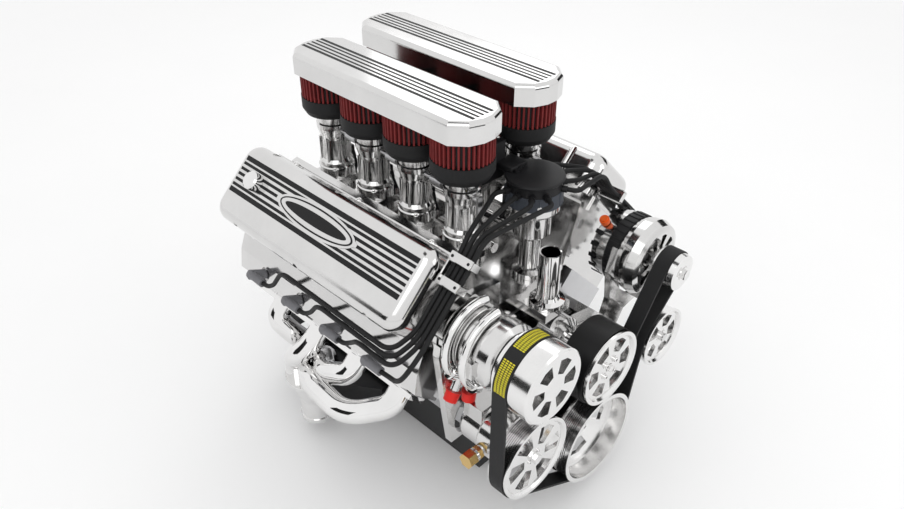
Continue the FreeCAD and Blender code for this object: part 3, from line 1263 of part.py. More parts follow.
def distributor():
    x, y = D.distributor_x, -D.distributor_y
    base = D.distributor_cap_base
    bore = D.distributor_shaft_radius + D.running_gap
    seat = D.valley_wall_height + 42 + D.seat_gap
    barrel = D.distributor_body_radius - 14.5
    node("distributor_housing", turned([
        (bore, 140), (barrel, 140), (barrel, seat), (30, seat), (30, seat + 10), (barrel, seat + 14),
        (barrel, base - 76), (D.distributor_body_radius, base - 62), (D.distributor_body_radius, base - 1),
        (D.distributor_body_radius - 5, base - 1), (D.distributor_body_radius - 5, base - 12), (bore, base - 12)],
        (x, y, 0)))
    radius = D.distributor_cap_radius
    top = D.distributor_cap_top
    cap = turned([(D.distributor_body_radius, base), (radius - 3, base), (radius - 3, base + 22), (radius, base + 24),
                  (radius, top - 3), (radius - 3, top), (0, top), (0, top - 8), (radius - 8, top - 10),
                  (radius - 8, base + 4), (D.distributor_body_radius, base + 4)], (x, y, 0))
    towers = []
    for side, rank in ((side, rank) for side in BANKS for rank in range(4)):
        reach = tower_angle(side, rank)
        towers.append(cylinder(6, 14, (x + (radius - 5) * math.cos(reach), y + (radius - 5) * math.sin(reach), base + TOWER_RISE),
                               Rotation(Vector(0, 0, 1), Vector(math.cos(reach), math.sin(reach), 0))))
    node("distributor_cap", fuse([cap] + towers))
    node("distributor_rotor", turned([
        (0, 98), (14, 98), (14, 126), (D.distributor_shaft_radius, 130), (D.distributor_shaft_radius, base + 2),
        (12, base + 4), (26, base + 10), (26, base + 16), (8, base + 22), (0, base + 24)], (x, y, 0)))


def ignition_coil():
    """Coil block behind the distributor, on an upright bracket that stands on the valley cover."""
    foot = D.valley_wall_height + 42 + D.seat_gap
    back = D.distributor_y - 112
    bracket = fuse([box((-18, -back, foot), (18, -back + 6, 480)), box((-18, -back - 18, foot), (18, -back + 6, foot + 6))])
    coil = slab([(-30, -back - 54), (22, -back - 54), (30, -back - 30), (30, -back - D.seat_gap),
                 (-30, -back - D.seat_gap)], 66, (0, 0, 424), "XY_Plane")
    studs = [cylinder(4, 6, (spot, -back - 42, 489)) for spot in (-16, 14)]
    node("ignition_coil", group([bracket, fuse([coil] + studs)]))


BOOT_LEG = 41
BOOT_REACH = 38


def spark_plugs():
    """Plugs stand in the heads' recesses; elbow boots turn their leads along the engine."""
    plugs = []
    boots = []
    for side in BANKS:
        for i in range(CYLINDERS_PER_BANK):
            along = station(i)
            plug = turned([(0, 0), (D.plug_radius, 0), (D.plug_radius, 8), (5.5, 9), (5.5, 27), (3.5, 28), (3.5, 31),
                           (0, 31)])
            plug = place(plug, plug_seat(along, D.seat_gap), PLUG_TURN)
            stem = cylinder(6.2, 8, plug_seat(along, -7.5), PLUG_TURN)
            plugs.append(to_bank(group([fuse([plug, stem])]), side))
            shell = turned([(5.8, 0), (D.boot_radius, 0), (D.boot_radius, 34), (D.boot_radius - 4, 38), (0, 38),
                            (0, 21), (5.8, 21)])
            shell = place(shell, plug_seat(along, 11), PLUG_TURN)
            toward_front = "-Y" if side == "left" else "Y"
            leg = cylinder(D.boot_radius - 1.5, BOOT_REACH, plug_seat(along, BOOT_LEG), toward_front)
            boots.append(to_bank(group([fuse([shell, leg])]), side))
    node("spark_plugs", group(plugs))
    node("plug_boots", group(boots))


def beside(side, out, along, up):
    """A point of either bank with its place along the engine given in the engine's own frame."""
    sign = row_side(side)
    return Vector(sign * (up + out) * DIAGONAL, along, (up - out) * DIAGONAL)


def lead_level(side):
    """Height above the crank axis, along the bank, at which the leads pass the cover's front."""
    return 407 if side == "left" else 392


LEAD_PITCH = 9.6
LEAD_FRONT = -522
LOOM_OUT = (-152, -112)


def lead_route(side, rank, boot_at):
    """One lead from the cap past the looms, round the head's front corner and back to its boot."""
    sign = row_side(side)
    level = lead_level(side)
    along = LEAD_FRONT - LEAD_PITCH * rank
    centre = Vector(float(D.distributor_x), -float(D.distributor_y), float(D.distributor_cap_base) + TOWER_RISE)
    turn = tower_angle(side, rank)
    aim = Vector(math.cos(turn), math.sin(turn), 0)
    tip = centre + aim * (float(D.distributor_cap_radius) + 9 + 0.3)
    bends = [tip, tip + aim * 18]
    bends.append(beside(side, -196, along + 5 - rank, level + 1 if side == "left" else 402))
    bends += [beside(side, LOOM_OUT[0], along, level), beside(side, LOOM_OUT[1], along - 0.4, level + 0.3)]
    bends += [beside(side, -66, along - 0.8, level + 1), beside(side, -24 + 8 * rank, along - 1, level)]
    out = 24 + LEAD_PITCH * rank
    if rank == 3:
        bends += [beside(side, out - 2, along + 16, level - 16), beside(side, out + 12, along + 46, level - 46)]
    else:
        bends.append(beside(side, out, along + 24, level - 2))
        first = along + 24
        last = boot_at - 74
        count = max(1, math.ceil((last - first) / 56))
        for step in range(1, count + 1):
            share = step / count
            bends.append(beside(side, out, first + (last - first) * share, level - 2 - 9 * share ** 2))
        bends.append(beside(side, 58, boot_at - 34, 357))
    return bends


def ignition_wires():
    """Eight leads between the distributor cap and the plug boots."""
    leads = []
    for side in BANKS:
        ends = []
        for i in range(CYLINDERS_PER_BANK):
            across, along, up = plug_seat(station(i), BOOT_LEG)
            where = Vector(*[float(part) for part in world(side, -across, up, along)])
            ends.append(where - Vector(0, BOOT_REACH + float(D.seat_gap), 0))
        ends.sort(key=lambda end: -end.y)
        for rank, end in enumerate(ends):
            route = lead_route(side, rank, end.y) + [end - Vector(0, 16, -1.5), end]
            leads.append(computed(tube(route, float(D.wire_radius))))
    node("ignition_wires", group(leads))


def wire_looms():
    """Clamp bars that hold the leads in line, on a thin bracket plate in front of each head."""
    looms = []
    head_face = -(D.block_length + D.head_length) / 2 - D.seat_gap
    plate = 3
    for side in BANKS:
        level = lead_level(side)
        turn = Rotation(Vector(0, 1, 0), 45 if side == "right" else -45)
        outs = LOOM_OUT if side == "left" else LOOM_OUT[1:]
        spots = [beside(side, out, LEAD_FRONT - 1.5 * LEAD_PITCH, level) for out in outs]
        rear = float(head_face) - plate
        parts = []
        slots = []
        for spot in spots:
            bar = box((-6, -1.5 * LEAD_PITCH - 9, -10), (6, rear - spot.y, 10))
            parts.append(place(group([bar]), spot, turn))
            slot = box((-8, -1.5 * LEAD_PITCH - 6, -D.wire_radius - 0.6), (8, 1.5 * LEAD_PITCH + 5, D.wire_radius + 0.6))
            slots.append(place(group([slot]), spot, turn))
        low = beside(side, outs[0] - 8, 0, 345)
        high = beside(side, LOOM_OUT[1] + 8, 0, 345)
        rise = beside(side, LOOM_OUT[1] + 8, 0, level + 10)
        back = beside(side, outs[0] - 8, 0, level + 10)
        corners = [(point.x, point.z) for point in (low, high, rise, back)]
        sheet = slab(corners, plate, (0, head_face, 0))
        looms.append(cut(fuse([sheet] + parts), slots))
    node("wire_looms", group(looms))


# ---------------------------------------------------------------- pan and exhaust

def oil_pan():
    """Black sheet-metal pan with a rail, a flat sump and a kick-out on either side."""
    rail = -D.skirt_depth - D.seat_gap
    wide = D.pan_half_width
    length = D.block_length - 12

    def shell(inset):
        floor = -D.pan_depth + inset
        low_front = -length - 6 + inset
        low_back = -12 - inset
        main = box((-wide + inset, low_front, floor), (wide - inset, low_back, rail + (1 if inset else 0)))
        wings = []
        for sign in (-1, 1):
            far = D.kickout_half_width - inset
            plan = [(sign * (wide - 10), -D.kickout_front + 2 * inset), (sign * (wide + 34), -D.kickout_front + inset),
                    (sign * far, -D.kickout_front + D.kickout_slope), (sign * far, -D.kickout_rear - inset),
                    (sign * (wide - 10), -D.kickout_rear - inset)]
            wings.append(slab(plan, 62 - 2 * inset, (0, 0, floor), "XY_Plane"))
        return fuse([main] + wings)

    flange = box((-D.rail_half_width, -D.block_length, rail - 3), (D.rail_half_width, 0, rail))
    opening = box((-D.crankcase_radius - 4, -length, rail - 10), (D.crankcase_radius + 4, -12, rail + 1))
    node("oil_pan", cut(fuse([shell(0), flange]), [shell(float(D.pan_wall)), opening]))


def primary_routes(centre):
    """Bends of the four primaries (out from the middle, along, up), from the front to the rear."""
    return [
        [(330, centre - 195, 80), (318, centre - 82, 68)],
        [(290, centre - 88, 80), (264, centre - 44, 72)],
        [(302, centre - 12, 76)],
        [(264, centre + 52, 76)],
    ]


def exhaust_header(side):
    """Polished header: flange, four primaries and a collector pointing down."""
    face = D.head_width_out + 6 + D.seat_gap
    middle = head_front() + D.head_length / 2
    flange = box((-face - D.header_flange, middle - D.manifold_length / 2 - 6, PORT_UP - 23),
                 (-face, middle + D.manifold_length / 2 - 24, PORT_UP + 19))
    holes = [cylinder(17, 40, (-face + 10, station(i) - D.valve_pair_spacing / 2, PORT_UP), OUTWARD)
             for i in range(CYLINDERS_PER_BANK)]
    solids = [to_bank(cut(flange, holes), side)]
    sign = row_side(side)
    ports = [Vector(*[float(part) for part in world(side, face + 2, as_size(PORT_UP),
                                                   station(i) - D.valve_pair_spacing / 2)])
             for i in range(CYLINDERS_PER_BANK)]
    ports.sort(key=lambda port: port.y)
    collect = Vector(sign * 262, ports[2].y + 33, 8)
    spread = float(D.primary_radius) + 0.5
    slots = [(1, -1), (-1, -1), (1, 1), (-1, 1)]
    for port, (out, along), bends in zip(ports, slots, primary_routes(collect.y)):
        entry = collect + Vector(sign * out * spread, along * spread, 0)
        first = port + Vector(sign, 0, -1) * 27
        route = [port, first] + [Vector(sign * across, where, up) for across, where, up in bends]
        route += [entry + Vector(0, 0, 40), entry - Vector(0, 0, 12)]
        solids.append(computed(tube(route, float(D.primary_radius))))
    wide = 2 * D.primary_radius + 11
    radius = D.collector_radius
    collector = turned([(0, 0), (wide, 0), (wide, 5), (wide - 9, 24), (radius, 62), (radius, 104), (radius + 2, 104),
                        (radius + 2, 112), (radius - D.primary_wall, 112), (radius - D.primary_wall, 40), (0, 40)],
                       (collect.x, collect.y, collect.z), "-Z")
    node(f"exhaust_header_{side}", fuse(solids + [collector]))


def oil_filter():
    """Spin-on filter at the right front of the block."""
    start = D.rail_half_width + D.seat_gap
    node("oil_filter", turned([(0, 0), (30, 0), (38, 6), (38, 84), (32, 92), (0, 92)], (start, -450, -22), "X"))


def check_and_write():
    DOC.recompute()
    for obj in DOC.Objects:
        if "Invalid" in obj.State or "Error" in obj.State:
            raise RuntimeError(f"{obj.Label} failed: {obj.State}")
    for name, obj in NODES.items():
        if obj.Shape.isNull() or not obj.Shape.isValid():
            raise RuntimeError(f"{name} has no valid shape")
    os.makedirs("parts", exist_ok=True)
    for name, obj in NODES.items():
        obj.Shape.exportStep(f"parts/{name}.step")


def build():
    cylinder_block()
    main_bearing_caps()
    crankshaft()
    camshaft()
    timing_set()
    for side in BANKS:
        cylinder_head(side)
        valve_cover(side)
        throttle_bodies(side)
        throttle_shaft(side)
        exhaust_header(side)
    valve_cover_bolts()
    oil_filler_cap()
    valve_gear()
    pistons()
    intake_manifold()
    fuel_rails()
    air_filters()
    filter_covers()
    timing_cover()
    harmonic_damper()
    crank_pulley()
    water_pump()
    thermostat_housing()
    alternator()
    compressor()
    steering_pump()
    tensioner()
    accessory_brackets()
    serpentine_belt()
    distributor()
    ignition_coil()
    spark_plugs()
    ignition_wires()
    wire_looms()
    oil_pan()
    oil_filter()
    check_and_write()


build()
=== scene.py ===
"""A complete V8 engine with throttle stacks, finned covers, headers and a front belt drive."""
import math

import bmesh
import bpy
from mathutils import Matrix, Vector


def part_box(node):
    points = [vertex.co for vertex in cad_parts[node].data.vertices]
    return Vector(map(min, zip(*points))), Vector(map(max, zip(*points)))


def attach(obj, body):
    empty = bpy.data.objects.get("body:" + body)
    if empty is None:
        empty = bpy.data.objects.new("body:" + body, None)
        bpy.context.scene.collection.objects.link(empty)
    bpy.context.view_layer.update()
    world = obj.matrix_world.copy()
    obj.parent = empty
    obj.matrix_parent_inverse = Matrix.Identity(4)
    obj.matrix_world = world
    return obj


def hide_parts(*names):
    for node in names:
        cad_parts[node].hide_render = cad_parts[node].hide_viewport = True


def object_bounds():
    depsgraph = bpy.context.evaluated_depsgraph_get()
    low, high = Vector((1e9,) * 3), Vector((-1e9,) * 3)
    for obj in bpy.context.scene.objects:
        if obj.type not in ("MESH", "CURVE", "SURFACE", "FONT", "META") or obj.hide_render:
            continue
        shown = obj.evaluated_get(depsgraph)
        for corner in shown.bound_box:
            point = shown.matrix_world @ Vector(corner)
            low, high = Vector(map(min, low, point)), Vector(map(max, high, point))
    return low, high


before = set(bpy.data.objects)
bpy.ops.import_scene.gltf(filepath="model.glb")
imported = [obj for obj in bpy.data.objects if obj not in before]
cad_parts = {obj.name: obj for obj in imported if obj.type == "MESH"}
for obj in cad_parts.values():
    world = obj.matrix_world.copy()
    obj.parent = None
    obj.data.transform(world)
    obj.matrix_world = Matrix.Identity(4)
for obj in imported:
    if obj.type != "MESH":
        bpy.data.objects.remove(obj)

bl_info = {
    "name": "V8 engine dress-up",
    "version": (1, 0, 0),
    "blender": (4, 5, 0),
    "location": "3D View > Sidebar > Engine",
    "description": "Builds the visible detail and finishes of a complete V8 engine",
    "category": "Add Mesh",
}

CAD_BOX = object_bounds()
MM = 0.001
SIDES = ("left", "right")
LEAN = math.radians(45)

# Places on the covers and the belt drive, in millimetres
COVER_ACROSS = 88
COVER_CROWN = 446.3
COVER_HALF_LENGTH = 230.4
LID_PITCH = 10
FIN_PITCH = 10.5
PAINT_GAP = 0.05
BELT_PLANE = 678
BELT_PITCH = 3.45
DOWN_THE_FRONT = (0, -1, 0)


# ---------------------------------------------------------------- settings

def length(name, default, description):
    return bpy.props.FloatProperty(name=name, description=description, default=default, min=0.0)


def colour(name, default, description):
    return bpy.props.FloatVectorProperty(name=name, description=description, default=default, size=3,
                                         min=0.0, max=1.0, subtype="COLOR")


class EngineColours(bpy.types.PropertyGroup):
    polished: colour("Polished aluminium", (0.72, 0.715, 0.71), "Colour of the polished covers and castings")
    chrome: colour("Chrome", (0.84, 0.835, 0.83), "Colour of the chromed pipes and pulleys")
    cast: colour("Cast aluminium", (0.66, 0.66, 0.67), "Colour of the block and the plain castings")
    steel: colour("Steel", (0.56, 0.56, 0.57), "Colour of shafts and small steel parts")
    # This black also colours the painted shade in the filter pleat gaps, pulley belt grooves, alternator
    # housing slots and loom plate holes.
    black: colour("Black paint", (0.006, 0.006, 0.0065), "Colour of the oil pan and the filled grooves")
    plastic: colour("Black plastic", (0.009, 0.009, 0.01), "Colour of the cap and the coil")
    rubber: colour("Rubber", (0.009, 0.009, 0.0095), "Colour of the belt, leads and filter bases")
    boots: colour("Boots", (0.16, 0.16, 0.17), "Colour of the spark plug boots")
    pleats: colour("Filter pleats", (0.2, 0.012, 0.012), "Colour of the oiled filter cloth")
    caps: colour("Line caps", (0.62, 0.015, 0.01), "Colour of the shipping caps on the fittings")
    brass: colour("Brass", (0.72, 0.5, 0.2), "Colour of the brass fitting")
    skirt: colour("Cap skirt", (0.045, 0.052, 0.065), "Colour of the distributor cap's skirt")
    terminal: colour("Terminal cap", (0.7, 0.1, 0.015), "Colour of the alternator's terminal cap")
    marks: colour("Belt marks", (0.75, 0.62, 0.03), "Colour of the tick marks on the belt's back")


class EngineSizes(bpy.types.PropertyGroup):
    pleat_count: bpy.props.IntProperty(name="Pleats", description="Pleats round one filter",
                                       default=40, min=12)
    pleat_depth: length("Pleat depth", 8.0, "Depth of a pleat in millimetres")
    groove_depth: length("Groove depth", 3.0, "Depth of the covers' grooves in millimetres")


class StageSettings(bpy.types.PropertyGroup):
    lens: bpy.props.FloatProperty(name="Lens", description="Focal length of the camera in millimetres",
                                  default=32.9, min=1.0)
    elevation: bpy.props.FloatProperty(name="Elevation", description="Camera's height angle",
                                       default=math.radians(35.1), subtype="ANGLE")
    azimuth: bpy.props.FloatProperty(name="Azimuth", description="Camera's angle round the engine",
                                     default=math.radians(-44.77), subtype="ANGLE")
    floor: colour("Floor", (0.97, 0.97, 0.97), "Colour of the floor")


# ---------------------------------------------------------------- materials

class Wire:
    """A socket or number that takes part in arithmetic and adds its Math nodes as it goes."""

    def __init__(self, finish, socket):
        self.finish = finish
        self.socket = socket

    def math(self, operation, *others):
        return self.finish.node("ShaderNodeMath", {"operation": operation}, sockets=(self, *others))

    def __add__(self, other):
        return self.math("ADD", other)

    def __mul__(self, other):
        return self.math("MULTIPLY", other)

    def __sub__(self, other):
        return self.math("SUBTRACT", other)

    def __rsub__(self, other):
        return self.finish.node("ShaderNodeMath", {"operation": "SUBTRACT"}, sockets=(other, self))

    __radd__ = __add__
    __rmul__ = __mul__


class Nodes:
    """A node tree under construction."""

    def __init__(self, tree):
        self.tree = tree
        self.tree.nodes.clear()

    def plug(self, socket, value):
        if isinstance(value, Wire):
            self.tree.links.new(value.socket, socket)
        else:
            socket.default_value = value

    def node(self, kind, settings=None, output=0, sockets=(), **inputs):
        """Adds a node with its settings, then its sockets by order or by name; spaces are underscores."""
        node = self.tree.nodes.new(kind)
        for name, value in (settings or {}).items():
            setattr(node, name, value)
        for socket, value in zip(node.inputs, sockets):
            self.plug(socket, value)
        for name, value in inputs.items():
            self.plug(node.inputs[name.replace("_", " ")], value)
        return Wire(self, node.outputs[output]) if node.outputs else None


class Finish(Nodes):
    """A material under construction, whose patterns read Object coordinates."""

    def __init__(self, name):
        self.material = bpy.data.materials.new(name)
        self.material.use_nodes = True
        super().__init__(self.material.node_tree)
        self.surface = self.tree.nodes.new("ShaderNodeBsdfPrincipled")
        self.node("ShaderNodeOutputMaterial", Surface=Wire(self, self.surface.outputs[0]))
        self.place = self.node("ShaderNodeTexCoord", output="Object")

    def noise(self, scale, detail=3.0, roughness=0.5):
        return self.node("ShaderNodeTexNoise", Vector=self.place, Scale=scale, Detail=detail,
                         Roughness=roughness)

    def mix(self, factor, low, high):
        ends = [end if isinstance(end, Wire) else (*end, 1.0) for end in (low, high)]
        return self.node("ShaderNodeMix", {"data_type": "RGBA"}, "Result",
                         Factor=factor, A=ends[0], B=ends[1])

    def set(self, **inputs):
        for name, value in inputs.items():
            self.plug(self.surface.inputs[name.replace("_", " ")], value)
        return self

    def bump(self, height, strength=0.2, distance=0.001):
        self.set(Normal=self.node("ShaderNodeBump", Height=height, Strength=strength, Distance=distance))
        return self


def shade(tint, amount):
    return tuple(min(1.0, part * amount) for part in tint)


def metal(name, tint, rough, cloud, spread, grain=0.0, grain_scale=900.0):
    """Bare metal: clouded polish, faint stains and a cast or brushed grain."""
    finish = Finish(name)
    patches = finish.noise(cloud, 4.0, 0.6)
    fine = finish.noise(grain_scale, 2.0)
    finish.set(Base_Color=finish.mix(patches, shade(tint, 0.86), shade(tint, 1.06)), Metallic=1.0,
               Roughness=rough + (patches - 0.5) * spread + (fine - 0.5) * spread)
    if grain:
        finish.bump(fine, grain)
    return finish.material


def coated(name, tint, rough, grain, scale, coat=0.0):
    """Paint, plastic or rubber with a moulded grain and dusty patches."""
    finish = Finish(name)
    patches = finish.noise(18.0, 3.0)
    fine = finish.noise(scale, 3.0)
    finish.set(Base_Color=finish.mix(patches, shade(tint, 0.8), shade(tint, 1.5)),
               Roughness=rough + (patches - 0.5) * 0.18 + (fine - 0.5) * 0.1, Coat_Weight=coat,
               Specular_IOR_Level=0.28)
    finish.bump(fine, grain, 0.0006)
    return finish.material


def pleat_cloth(name, tint):
    """Oiled filter cloth with random stains and dark fine fibres, under a fine wire mesh."""
    finish = Finish(name)
    fibres = finish.noise(1400.0, 4.0)
    stain = finish.noise(60.0, 3.0)
    base = finish.mix(stain, shade(tint, 0.55), shade(tint, 1.35))
    finish.set(Base_Color=finish.mix(fibres * 0.5, base, shade(tint, 0.4)), Roughness=0.8)
    finish.bump(fibres, 0.5, 0.0005)
    return finish.material


def machined(name, tint):
    """Turned pulley faces with fine rings."""
    finish = Finish(name)
    fine = finish.noise(1500.0, 2.0)
    patches = finish.noise(25.0, 3.0)
    finish.set(Base_Color=finish.mix(patches, shade(tint, 0.9), shade(tint, 1.04)), Metallic=1.0,
               Roughness=0.16 + (patches - 0.5) * 0.1)
    finish.bump(fine, 0.03)
    return finish.material


FINISHES = {}


def make_finishes():
    tint = bpy.context.scene.engine_colours
    plain = {name: tuple(getattr(tint, name)) for name in EngineColours.__annotations__}
    FINISHES["polished"] = metal("polished_aluminium", plain["polished"], 0.14, 14.0, 0.1)
    FINISHES["chrome"] = metal("chrome_plate", plain["chrome"], 0.05, 10.0, 0.05)
    FINISHES["cast"] = metal("cast_aluminium", plain["cast"], 0.36, 30.0, 0.16, 0.35, 500.0)
    FINISHES["steel"] = metal("machined_steel", plain["steel"], 0.3, 40.0, 0.15, 0.1)
    FINISHES["iron"] = metal("cast_iron", shade(plain["steel"], 0.5), 0.5, 30.0, 0.2, 0.4, 400.0)
    FINISHES["pulley"] = machined("pulley_face", plain["chrome"])
    FINISHES["brass"] = metal("brass_fitting", plain["brass"], 0.22, 40.0, 0.1)
    FINISHES["black"] = coated("black_paint", plain["black"], 0.32, 0.08, 700.0, 0.3)
    # The same black serves as real paint in the cover grooves and badges, and as painted shade in the pleat
    # gaps, belt grooves, housing slots and loom holes.
    FINISHES["groove"] = coated("groove_paint", plain["black"], 0.5, 0.15, 900.0)
    FINISHES["drum"] = coated("black_drum", plain["black"], 0.38, 0.06, 900.0)
    FINISHES["plastic"] = coated("black_plastic", plain["plastic"], 0.46, 0.25, 1200.0)
    FINISHES["laminate"] = coated("stator_laminate", shade(plain["black"], 1.6), 0.5, 0.3, 800.0)
    FINISHES["rubber"] = coated("black_rubber", plain["rubber"], 0.6, 0.3, 1000.0)
    FINISHES["belt"] = coated("belt_rubber", shade(plain["rubber"], 1.4), 0.62, 0.45, 1500.0)
    FINISHES["boots"] = coated("boot_rubber", plain["boots"], 0.55, 0.2, 900.0)
    FINISHES["caps"] = coated("cap_plastic", plain["caps"], 0.35, 0.1, 900.0)
    FINISHES["marks"] = coated("belt_mark_ink", plain["marks"], 0.6, 0.1, 900.0)
    FINISHES["pleats"] = pleat_cloth("filter_pleats", plain["pleats"])
    FINISHES["skirt"] = coated("cap_skirt_plastic", plain["skirt"], 0.42, 0.15, 900.0)
    FINISHES["terminal"] = coated("terminal_cap", plain["terminal"], 0.4, 0.1, 900.0)


NODE_FINISH = {
    "cylinder_block": "cast", "main_bearing_caps": "iron", "crankshaft": "steel", "camshaft": "steel",
    "timing_cover": "polished", "water_pump_housing": "polished", "alternator_housing": "polished",
    "timing_chain": "steel", "crank_sprocket": "steel", "cam_sprocket": "steel", "lifters": "steel",
    "pushrods": "steel", "rocker_arms": "polished", "valves": "steel", "valve_springs": "steel",
    "pistons": "cast", "oil_pan": "black", "oil_filter": "black", "water_pump_pulley": "pulley",
    "alternator_stator": "laminate", "alternator_rotor": "steel", "water_pump_rotor": "steel",
    "harmonic_damper": "drum", "crank_pulley": "pulley", "ac_pulley": "pulley", "ps_pulley": "pulley",
    "idler_pulley": "pulley", "alternator_pulley": "pulley", "distributor_cap": "plastic",
    "distributor_rotor": "plastic", "ignition_coil": "plastic", "ignition_wires": "rubber",
    "serpentine_belt": "belt", "filter_bases": "rubber", "air_filters": "pleats", "plug_boots": "boots",
    "spark_plugs": "steel", "throttle_shaft_left": "steel", "throttle_shaft_right": "steel",
    "exhaust_header_left": "chrome", "exhaust_header_right": "chrome", "oil_filler_cap": "chrome",
    "valve_cover_bolts": "chrome", "thermostat_housing": "chrome",
}


# ---------------------------------------------------------------- mesh helpers, in millimetres

def corners(node):
    low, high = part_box(node)
    return Vector(low) / MM, Vector(high) / MM


def centre_of(node):
    """Middle of a wheel across the engine and in height."""
    low, high = corners(node)
    return (low.x + high.x) / 2, (low.z + high.z) / 2


def around(angle, reach=1.0):
    """A vector at an angle, in degrees, in the upright plane across the engine."""
    turn = math.radians(angle)
    return Vector((reach * math.cos(turn), 0, reach * math.sin(turn)))


def aimed(at, direction):
    """A placement whose Z axis runs along a direction."""
    aim = Vector(direction).normalized()
    if abs(aim.y) < 0.0001 and (abs(aim.x) > 0.0001 or aim.z < 0):
        turn = Matrix.Rotation(math.atan2(aim.x, aim.z), 4, "Y")
    else:
        turn = Vector((0, 0, 1)).rotation_difference(aim).to_matrix().to_4x4()
    return Matrix.Translation(Vector(at)) @ turn


def bank_frame(side):
    """A bank's own frame: X towards the valley, Y along the engine, Z up the cylinders."""
    lean = Matrix.Rotation(-LEAN, 4, "Y")
    if side == "left":
        return lean
    block = corners("cylinder_block")[0]
    return Matrix.Translation((0, block.y, 0)) @ Matrix.Rotation(math.pi, 4, "Z") @ lean


def add_block(bm, low, high, place=None, bevel=0.0):
    low, high = Vector(low), Vector(high)
    made = bmesh.ops.create_cube(bm, size=1.0)["verts"]
    size = high - low
    bmesh.ops.scale(bm, vec=size, verts=made)
    bmesh.ops.translate(bm, vec=(low + high) / 2, verts=made)
    if bevel:
        edges = list({edge for vert in made for edge in vert.link_edges})
        out = bmesh.ops.bevel(bm, geom=edges, offset=bevel, segments=2, profile=0.5, affect="EDGES",
                              material=-1)
        kept = {vert for vert in made if vert.is_valid}
        made = list({vert for face in out["faces"] for vert in face.verts} | kept)
    if place is not None:
        bmesh.ops.transform(bm, matrix=place, verts=made)
    return made


def add_lathe(bm, profile, place, steps=32):
    """A turned shape from (radius, station) pairs; a pair on the axis closes its end."""
    points = [bm.verts.new((radius, 0, station)) for radius, station in profile]
    edges = [bm.edges.new(pair) for pair in zip(points, points[1:])]
    if profile[0][0] > 0 and profile[-1][0] > 0 and profile[0] != profile[-1]:
        edges.append(bm.edges.new((points[-1], points[0])))
    before = set(bm.verts) - set(points)
    bmesh.ops.spin(bm, geom=points + edges, cent=(0, 0, 0), axis=(0, 0, 1), angle=math.tau, steps=steps,
                   use_merge=True)
    made = [vert for vert in bm.verts if vert not in before]
    bmesh.ops.remove_doubles(bm, verts=made, dist=0.001)
    made = [vert for vert in bm.verts if vert not in before]
    bmesh.ops.transform(bm, matrix=place, verts=made)
    return made


def add_rod(bm, radius, start, end, segments=16, tip=None):
    start, end = Vector(start), Vector(end)
    made = bmesh.ops.create_cone(bm, cap_ends=True, segments=segments, radius1=radius,
                                 radius2=radius if tip is None else tip, depth=(end - start).length)["verts"]
    bmesh.ops.transform(bm, matrix=aimed((start + end) / 2, end - start), verts=made)
    return made


def add_arc_pipe(bm, centre, reach, radius, start, stop):
    """A pipe on an arc about a level axis along the engine, between two angles; returns its foot."""
    ring = bmesh.ops.create_circle(bm, cap_ends=True, segments=18, radius=radius)["verts"]
    place = Matrix.Rotation(math.radians(-start), 4, "Y") @ Matrix.Translation((reach, 0, 0))
    bmesh.ops.transform(bm, matrix=Matrix.Translation(centre) @ place, verts=ring)
    faces = list({face for vert in ring for face in vert.link_faces})
    edges = [edge for face in faces for edge in face.edges]
    bmesh.ops.spin(bm, geom=ring + edges + faces, cent=centre, axis=DOWN_THE_FRONT,
                   angle=math.radians(stop - start), steps=24)
    return Vector(centre) + around(start, reach)


def add_prism(bm, points, height, place):
    """An upright prism on a flat outline."""
    base = [bm.verts.new((x, y, 0)) for x, y in points]
    face = bm.faces.new(base)
    out = bmesh.ops.extrude_face_region(bm, geom=[face])
    top = [item for item in out["geom"] if isinstance(item, bmesh.types.BMVert)]
    bmesh.ops.translate(bm, vec=(0, 0, height), verts=top)
    bmesh.ops.transform(bm, matrix=place, verts=base + top)
    return base + top


def add_bolt(bm, at, direction, radius, height):
    """A cap screw with a drive socket, on a washer."""
    washer = radius * 1.35
    add_lathe(bm, [(0, height * 0.45), (radius * 0.5, height * 0.45), (radius * 0.55, height),
                   (radius * 0.88, height), (radius, height * 0.88), (radius, height * 0.2),
                   (washer, height * 0.2), (washer, 0), (0, 0)], aimed(at, direction), 14)


def add_nut(bm, at, direction, radius, height):
    """A hexagon head with a rounded crown on a washer."""
    place = aimed(at, direction)
    made = bmesh.ops.create_cone(bm, cap_ends=True, segments=6, radius1=radius, radius2=radius,
                                 depth=height)["verts"]
    bmesh.ops.translate(bm, vec=(0, 0, height / 2 + 1), verts=made)
    bmesh.ops.transform(bm, matrix=place, verts=made)
    add_lathe(bm, [(0, 0), (radius * 1.25, 0), (radius * 1.25, 1.2), (0, 1.2)], place, 18)


def piece(name, bm, finish, body="engine", replaces=(), sharp=32):
    """Closes a mesh, gives it its finish and lets it ride on its body."""
    bmesh.ops.scale(bm, vec=(MM, MM, MM), verts=bm.verts)
    bmesh.ops.recalc_face_normals(bm, faces=bm.faces)
    mesh = bpy.data.meshes.new(name)
    bm.to_mesh(mesh)
    bm.free()
    mesh.shade_smooth()
    mesh.set_sharp_from_angle(angle=math.radians(sharp))
    mesh.materials.append(FINISHES[finish])
    obj = bpy.data.objects.new(name, mesh)
    bpy.context.scene.collection.objects.link(obj)
    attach(obj, body)
    if replaces:
        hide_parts(*replaces)
    return obj


def stacks(side):
    """Centres of a row's throttle stacks, from the front."""
    low, high = corners(f"throttle_bodies_{side}")
    radius = (high.x - low.x) / 2
    step = (high.y - low.y - 2 * radius) / 3
    return [Vector(((low.x + high.x) / 2, low.y + radius + step * i, low.z)) for i in range(4)]


class EngineOperator(bpy.types.Operator):
    """Base of the engine's building steps."""
    bl_options = {"REGISTER", "UNDO"}

    def execute(self, context):
        self.build(context.scene)
        return {"FINISHED"}


